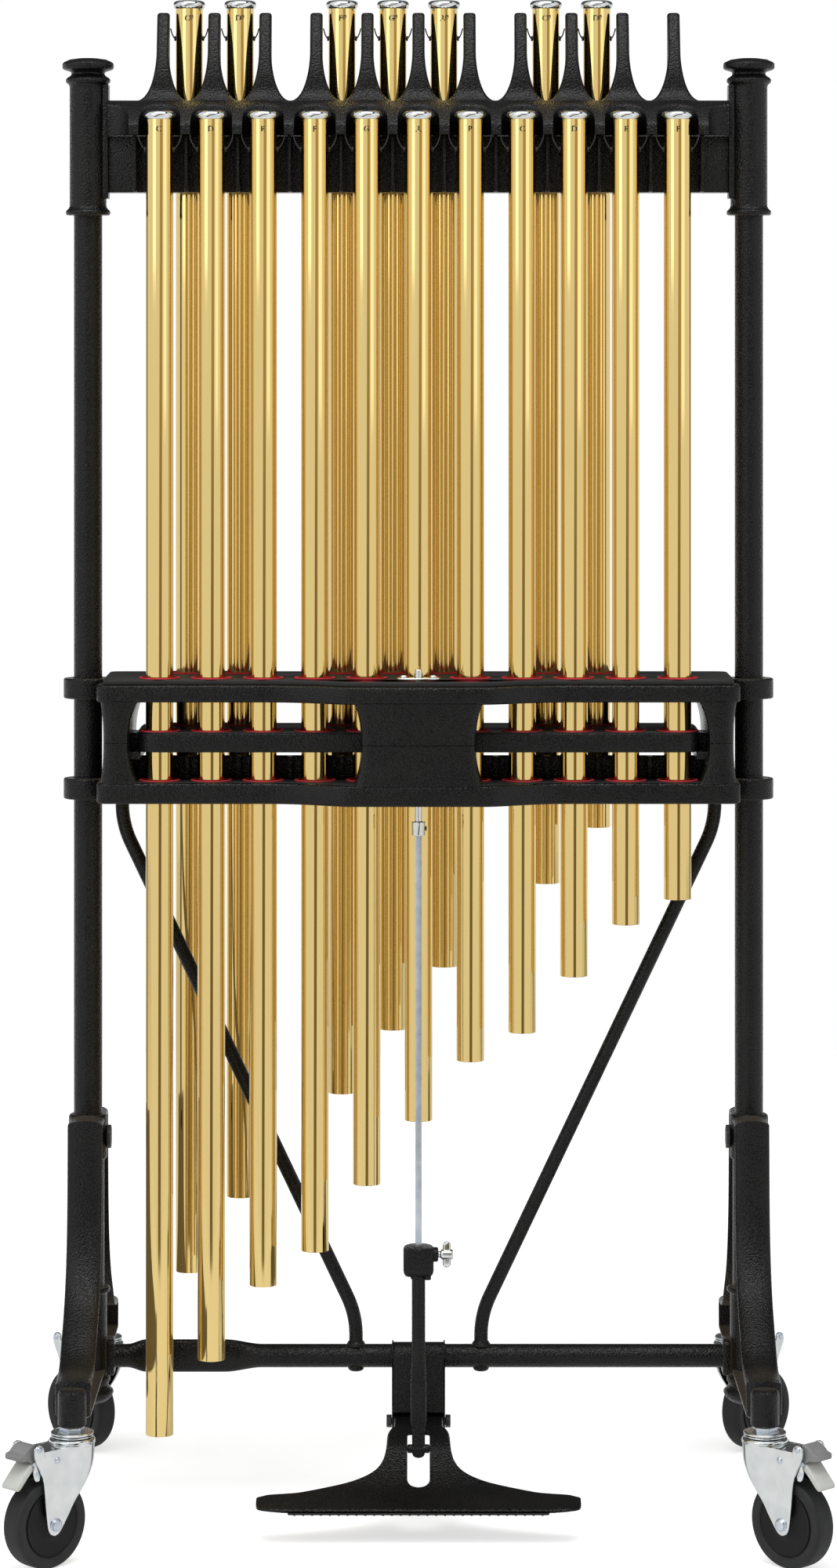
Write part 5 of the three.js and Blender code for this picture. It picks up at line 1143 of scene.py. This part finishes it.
def buildPedal():
    wide, nose, back = pick(pedalSet, "slotHalf", "slotNose", "slotBack")
    turn = np.radians(np.linspace(180, 360, 21))
    roundEnd = np.column_stack([wide * np.cos(turn), nose + wide * np.sin(turn)])
    straight = soften([(wide, -100), (wide, back), (-wide, back), (-wide, -100)], 3.0, 3, closed=False)
    cutter = plate(np.vstack([roundEnd, straight]), 20, 130, bevel=0.01, steps=0)
    painted("pedalCast", [pedalPlate()], "pedal", body="pedal", sharp=40, cutters=[cutter])
    pivot, half = pick(pedalSet, "pivot", "hubHalf")
    neck = [(-4, pivot + 8.2), (-19.5, pivot + 8.8), (-21, pivot + 1.5), (-16, pivot - 5.2), (-4, pivot - 8.0)]
    hub = [roundBar(-half, half, pedalSet["hubRadius"], 0, pivot, 0.8, 40),
           plate(soften(neck, 2.5), -half, half, bevel=1.0, facing="side")]
    painted("pedalHub", hub, "pedal", body="pedal", sharp=40)
    # the strip lies under the front edge, and its grooves run from front to back
    high, deep = 0.39 * pivot - 0.3, pedalSet["treadDeep"]
    low, rear = high - pedalSet["treadThick"], -0.97 * pedalSet["reach"] + deep
    strip = [slab((-pedalSet["treadHalf"], pedalSet["treadHalf"]), (rear - deep, rear), (low, high), 1.2, 3)]
    thin = pedalSet["groove"]
    groove = slab((-thin, thin), (rear - deep - 0.3, rear + 0.3), (low - 0.4, low + 0.8), 0.3, 0.5)
    strip += [moved(groove, (x, 0, 0)) for x in range(-140, 141, 10)]
    piece("pedalTreadStrip", strip, treadRubber, "pedal", "rubber", ["pedal_tread"])


buildPedal()
print("pedal built")


legSet = {
    "reach": 250.0, "low": 152.0, "high": 457.0, "flange": 20.0, "thick": 8.0, "web": 5.0, "crown": 4.2,
    "hub": 22.5, "boltZ": 430, "boltAcross": 24, "boltReach": 22.8, "boltHigh": 4.5,
    "half": [(0.228, 1), (0.268, 0.623), (0.376, 0.403), (0.568, 0.259), (0.736, 0.17), (0.96, 0.148)],
}


def legOutline():
    # the front and back edges follow a smooth curve through the casting's points
    reach, low, tall = legSet["reach"], legSet["low"], legSet["high"] - legSet["low"]
    curve = smoothPath([(r * reach, low + h * tall) for r, h in legSet["half"]], 8)
    foot = [(0.965 * reach + 3, low + 0.1 * tall), (0.965 * reach, low + 3), (0.92 * reach, low)]
    return mirrored(np.vstack([curve, foot]))


def insetLoop(points, distance):
    # every point moves along the mean of its two edge normals
    p = np.array(points, float)
    after, before = np.roll(p, -1, axis=0) - p, p - np.roll(p, 1, axis=0)
    after /= np.linalg.norm(after, axis=1, keepdims=True)
    before /= np.linalg.norm(before, axis=1, keepdims=True)
    area = np.sum(p[:, 0] * np.roll(p[:, 1], -1) - np.roll(p[:, 0], -1) * p[:, 1])
    edgeNormal = np.column_stack([-after[:, 1], after[:, 0]])
    normal = np.sign(area) * (edgeNormal + np.column_stack([-before[:, 1], before[:, 0]]))
    normal /= np.linalg.norm(normal, axis=1, keepdims=True)
    scale = 1 / np.clip(np.abs(np.sum(normal * edgeNormal, axis=1)), 0.4, 1)
    return p + normal * distance * scale[:, None]


def crownedFlange(loop, x):
    # section carried round the outline: out(s) = -crown * |s|^2.6 on the outer face, a flat inner face, s = across / half
    s = np.array([-1, -0.985, -0.93, -0.84, -0.7, -0.5, -0.25, 0, 0.25, 0.5, 0.7, 0.84, 0.93, 0.985, 1])
    drop = legSet["crown"] * np.abs(s) ** 2.6 + 1.6 * np.clip((np.abs(s) - 0.9) / 0.1, 0, 1) ** 2
    across = np.concatenate([s, s[::-1]]) * legSet["flange"]
    depth = np.concatenate([drop, np.full(len(s), legSet["thick"])])
    depth[[len(s), -1]] -= 0.5
    normal = loop - insetLoop(loop, 1.0)
    points = loop[:, None] - normal[:, None] * depth[None, :, None]
    sideways = np.broadcast_to(x + across[None, :, None], (*points.shape[:2], 1))
    return grid(np.concatenate([sideways, points], axis=-1), loopRows=True)


def buildLegs():
    outline, bore, hubOut, boltZ = legOutline(), postSet["bore"], legSet["hub"], legSet["boltZ"]
    hub = [(bore, 404), (hubOut - 2, 404), (hubOut, 406.5), (hubOut, 454), (hubOut - 1.7, 456.7), (bore, 456.7)]
    boss = [(bore, 256), (19, 256), (19, 406), (bore, 406)]
    sleeve = [(6.4, 150), (14.6, 150), (16, 151.6), (16, 186), (14, 190), (8, 191), (0.1, 191), (0.1, 186), (6.4, 185)]
    for side, sign in (("left", -1), ("right", 1)):
        x = sign * postSet["x"]
        web = plate(insetLoop(outline, legSet["thick"] * 0.5), x - legSet["web"], x + legSet["web"], facing="side")
        parts = [crownedFlange(outline, x), web, lathe(hub, 1.4, 56, (x, 0, 0), bored=True),
                 lathe(boss, 1.0, 56, (x, 0, 0), bored=True)]
        parts += [turned(soften(sleeve, 1.2), 48, (x, end * legSet["reach"], 0)) for end in (-1, 1)]
        painted("legCast_" + side, parts, "leg_" + side, coat=mirrorGlowCoat, sharp=42)
        at = x - sign * legSet["boltReach"]
        stub = [(0, at - 0.5), (6, at - 0.5), (6, at + 0.5), (0, at + 0.5)]
        head = [hexHead(at, at - sign * legSet["boltHigh"], legSet["boltAcross"], 0, boltZ),
                turned(stub, 24, (0, 0, boltZ), (1, 0, 0))]
        piece("hubBoltHead_" + side, head, blackBolt, "frame", "zinc", ["hub_bolt_" + side], sharp=30)


buildLegs()
print("legs built")


caster = {
    "reach": 250.0, "trail": 40.0, "axle": 50.0, "crownLow": 132.7, "inner": 16.3, "sheet": 3.0, "bulge": 5.4,
    "cheek": [
        (38.4, 39.5, 42.5), (39.2, 36.5, 45.2), (41, 33.9, 47.4), (43.8, 31.3, 49.2), (48, 28.2, 50.6), (54, 23.9, 51.6),
        (62, 18.2, 52.6), (73.2, 10.2, 53.9), (88, -1.6, 55.2), (98, -8.8, 56.6), (107, -13.4, 58.9), (115, -15.6, 62.8),
        (122, -16.4, 67.0), (128, -16.8, 69.6), (132.7, -17.0, 70.8),
    ],
    "crown": [(0, 128.6), (22.5, 128.6), (25.4, 130.6), (26.2, 133.4), (25.6, 136.4), (23.4, 138.0), (12, 138.3),
              (0, 138.3)],
    "lug": [(55, 126), (56.2, 134.5), (58.5, 140), (64, 142), (69.5, 139.5), (71, 133.5), (69, 126)],
    "hanger": [(57, 126), (66, 123), (69, 112), (66, 101), (60, 101)], "hangerNear": 13.8, "hangerFar": 15.6,
    "rivets": ((64.2, 136.4), (38, 121)), "brakePins": ((66.5, 120.5), (64.5, 109)),
    "rings": [(0, 141.2), (23.0, 141.2), (23.9, 142.2), (23.9, 143.6), (22.6, 144.5), (13, 144.9), (0, 144.9)],
    "under": [(0, 138.9), (23.2, 138.9), (23.7, 139.6), (23.4, 140.7), (0, 140.7)],
    "rim": [(37.4, -12.6), (39, -13.6), (45.4, -14), (48.2, -13), (49.6, -10.4), (50, -6), (50, 6), (49.6, 10.4),
            (48.2, 13), (45.4, 14), (39, 13.6), (37.4, 12.6), (36, 10.5), (36, -10.5)],
    "disc": [(6.4, -16), (12, -16), (14, -15), (14.6, -13.6), (20, -12.6), (33, -12.6), (35.0, -13.0), (35.6, -12.4),
             (35.6, 12.4), (35.0, 13.0), (33, 12.6), (20, 12.6), (14.6, 13.6), (14, 15), (12, 16), (6.4, 16)],
    "groove": [(35.2, -11.4), (37.8, -11.4), (37.8, 11.4), (35.2, 11.4)],
    "paddle": [(58, 120.5), (66, 121.4), (72, 119.2), (81, 109.6), (90.4, 99.4), (91.8, 95.6), (88.6, 93.2), (84.6, 95.4),
               (75.6, 105.2), (68, 112.6), (58, 113.5)],
    "lever": [(63, 121.6), (69, 120.8), (72, 124.2), (80.5, 124.6), (86.2, 125.6), (87, 128.6), (86.4, 132.2), (84, 132.8),
              (81, 133.4), (77, 137.6), (70, 141.2), (64.4, 142)],
}


def casterPlace(signX, signY):
    place = Matrix.Translation((signX * postSet["x"] * mm, signY * caster["reach"] * mm, 0))
    return place @ Matrix.Rotation(math.atan2(signY, signX), 4, "Z")


def alongY(profile, sides, x, z, ease=0.0, steps=3, bored=False):
    # a part turned about a line along Y, as wheels, rivets and pins are; the profile is (radius, y)
    if ease:
        profile = soften(profile, ease, steps, closed=bored)
    verts, faces = turned(profile, sides, (0, x, z), (1, 0, 0), bored)
    return verts[:, [1, 0, 2]], faces


def racewayTeeth():
    # a serrated joint between the raceway's rings: r(v) = r0 + 0.9 * |cos(18 v)|
    angle = np.linspace(0, 2 * math.pi, 288, endpoint=False)
    bite = 21.6 + 0.9 * np.abs(np.cos(18 * angle))
    reach = bite[None] * np.array([0.2, 1, 1, 0.2])[:, None]
    return rowsOf(reach * np.cos(angle), reach * np.sin(angle), np.array([138.2, 138.4, 141.4, 141.6]))


def cheekPart(side):
    # rows over the height run from trailing to leading edge on the outer face and back on the inner one; the outer face
    # swells by bulge * (1 - S(x)) * S(z) towards the crown and rolls in at its trailing edge
    table = np.array(caster["cheek"])
    z = np.concatenate([table[:5, 0], np.linspace(51, table[-1, 0], 34)])
    trail, lead = (np.interp(z, table[:, 0], table[:, column])[:, None] for column in (1, 2))
    x = trail + (lead - trail) * (1 - np.cos(np.linspace(0, 1, 33)[None] * math.pi)) / 2
    high = (z[:, None] - 60) / 36
    swell = caster["bulge"] * smooth((19 - x) / 5) * smooth(high)
    roll = 6.0 * np.clip((trail + 9 - x) / 9, 0, 1) ** 2 * np.clip(high, 0, 1)
    ease = 0.8 * np.clip(1 - np.minimum(x - trail, lead - x) / 1.2, 0, 1) ** 2
    inner = caster["inner"] + swell - roll
    y = np.concatenate([inner + caster["sheet"] - ease, (inner + ease * 0.3)[:, ::-1]], axis=1)
    return rowsOf(np.concatenate([x, x[:, ::-1]], axis=1), side * y, z)


def forkParts(braked):
    # crown bowl, top sheet, two swelling cheeks with their lugs, and the brake hangers
    inner, outer, low = caster["inner"], caster["inner"] + caster["sheet"], caster["crownLow"]
    sheet = slab((-16, 57), (0.4 - outer, outer - 0.4), (low - 3.4, low - 0.2), 1.4, 4)
    fork = [lathe(caster["crown"], 1.1, 64, steps=4), sheet]
    for side in (-1, 1):
        y0, y1 = sorted((side * (inner - 0.2), side * (outer + 0.25)))
        fork += [cheekPart(side), plate(soften(caster["lug"], 3, 4), y0, y1, bevel=0.9, facing="front")]
    if braked:
        near, far = pick(caster, "hangerNear", "hangerFar")
        hanger = soften(caster["hanger"], 2)
        fork += [plate(hanger, y0, y1, bevel=0.5, facing="front") for y0, y1 in ((-far, -near), (near, far))]
    return fork


def forkBolts(braked):
    # axle ends with their washers, rivets of the cheeks, and pins of the brake
    bolts = []
    for side in (-1, 1):
        end, outward = side * (caster["inner"] + caster["sheet"]), side * caster["hangerFar"]
        axleEnd = [(0, -1), (7.6, -1), (7.6, 0.9), (6.4, 1.1), (6.4, 3.0), (4.8, 4.0), (0, 4.3)]
        rivet = [(0, -1), (3.6, -1), (3.6, 0.7), (2.2, 1.9), (0, 2.1)]
        pin = [(0, -1), (3.0, -1), (2.6, 0.5), (0, 0.7)]
        axleEnd, rivet, pin = ([(r, at + side * y) for r, y in profile]
                               for profile, at in ((axleEnd, end), (rivet, end), (pin, outward)))
        bolts.append(alongY(axleEnd, 36, caster["trail"], caster["axle"], 0.5))
        bolts += [alongY(rivet, 24, x, z, 0.4) for x, z in caster["rivets"]]
        if braked:
            bolts += [alongY(pin, 20, x, z) for x, z in caster["brakePins"]]
    return bolts


def buildCaster(corner, signX, signY):
    at = casterPlace(signX, signY)
    trail, axle, braked = caster["trail"], caster["axle"], signY < 0

    def mount(name, parts, coat, body, slotName, stands=None, sharp=32):
        body = body if body == "frame" else body + "_" + corner
        nodes = [stands + "_" + corner] if stands else ()
        piece(name + "_" + corner, parts, coat, body, slotName, nodes, at, sharp)

    rings = [lathe(caster["rings"], 0.5, 72), lathe(caster["under"], 0.3, 72, steps=2)]
    mount("casterRaceway", rings, brightChrome, "frame", "chrome", "caster_stem", 30)
    # the serration between the rings is painted shade, near black
    mount("racewayTeeth", [racewayTeeth()], paintedShadeBlack, "frame", "powder_coat", sharp=60)
    nut = [plate(soften(hexagon(25), 0.9), 144.6, 149.6, bevel=0.9)]
    nut += [turned([(0, 149), (r, 149), (r, top), (0, top)], sides)
            for r, top, sides in ((11.4, 150.2, 40), (5.8, 185, 32))]
    mount("casterStemNut", nut, blueZinc, "frame", "zinc", "caster_stem", 30)
    mount("casterForkSheet", forkParts(braked), brightChrome, "fork", "chrome", "caster_fork", 35)
    mount("casterForkBolts", forkBolts(braked), blueZinc, "fork", "zinc", sharp=30)
    tread = alongY(caster["rim"], 96, trail, axle, 1.0, bored=True)
    mount("wheelTread", [tread], wheelRubber, "wheel", "wheel_rubber", "caster_wheel", 40)
    disc = alongY(caster["disc"], 72, trail, axle, 0.7, 2, bored=True)
    mount("wheelDisc", [disc], wheelDisc, "wheel", "wheel_rubber", sharp=35)
    # a near-black ring of painted shade in the groove between tyre and disc
    shade = alongY(caster["groove"], 72, trail, axle, bored=True)
    mount("wheelGrooveShade", [shade], paintedShadeBlack, "wheel", "wheel_rubber")
    if braked:
        paddle, lever = (plate(soften(caster[shape], ease, 3), -13, 13, bevel=bevel, facing="front", steps=3)
                         for shape, ease, bevel in (("paddle", 2.2, 1.5), ("lever", 1.6, 1.6)))
        bars = [plate(circle(0.6, 10, 84.4 + 2.2 * step, 105.2 - 2.6 * step), -9, 9, bevel=0.2, facing="front")
                for step in range(3)]
        mount("brakePedalMould", [paddle] + bars, brakeGrey, "brake", "light_grey", "brake_pedal", 40)
        mount("brakeLeverMould", [lever], leverGrey, "brake", "dark_grey", "brake_lever", 40)


for row, signY in (("front", -1), ("back", 1)):
    for side, signX in (("left", -1), ("right", 1)):
        buildCaster(row + "_" + side, signX, signY)
print("casters built")
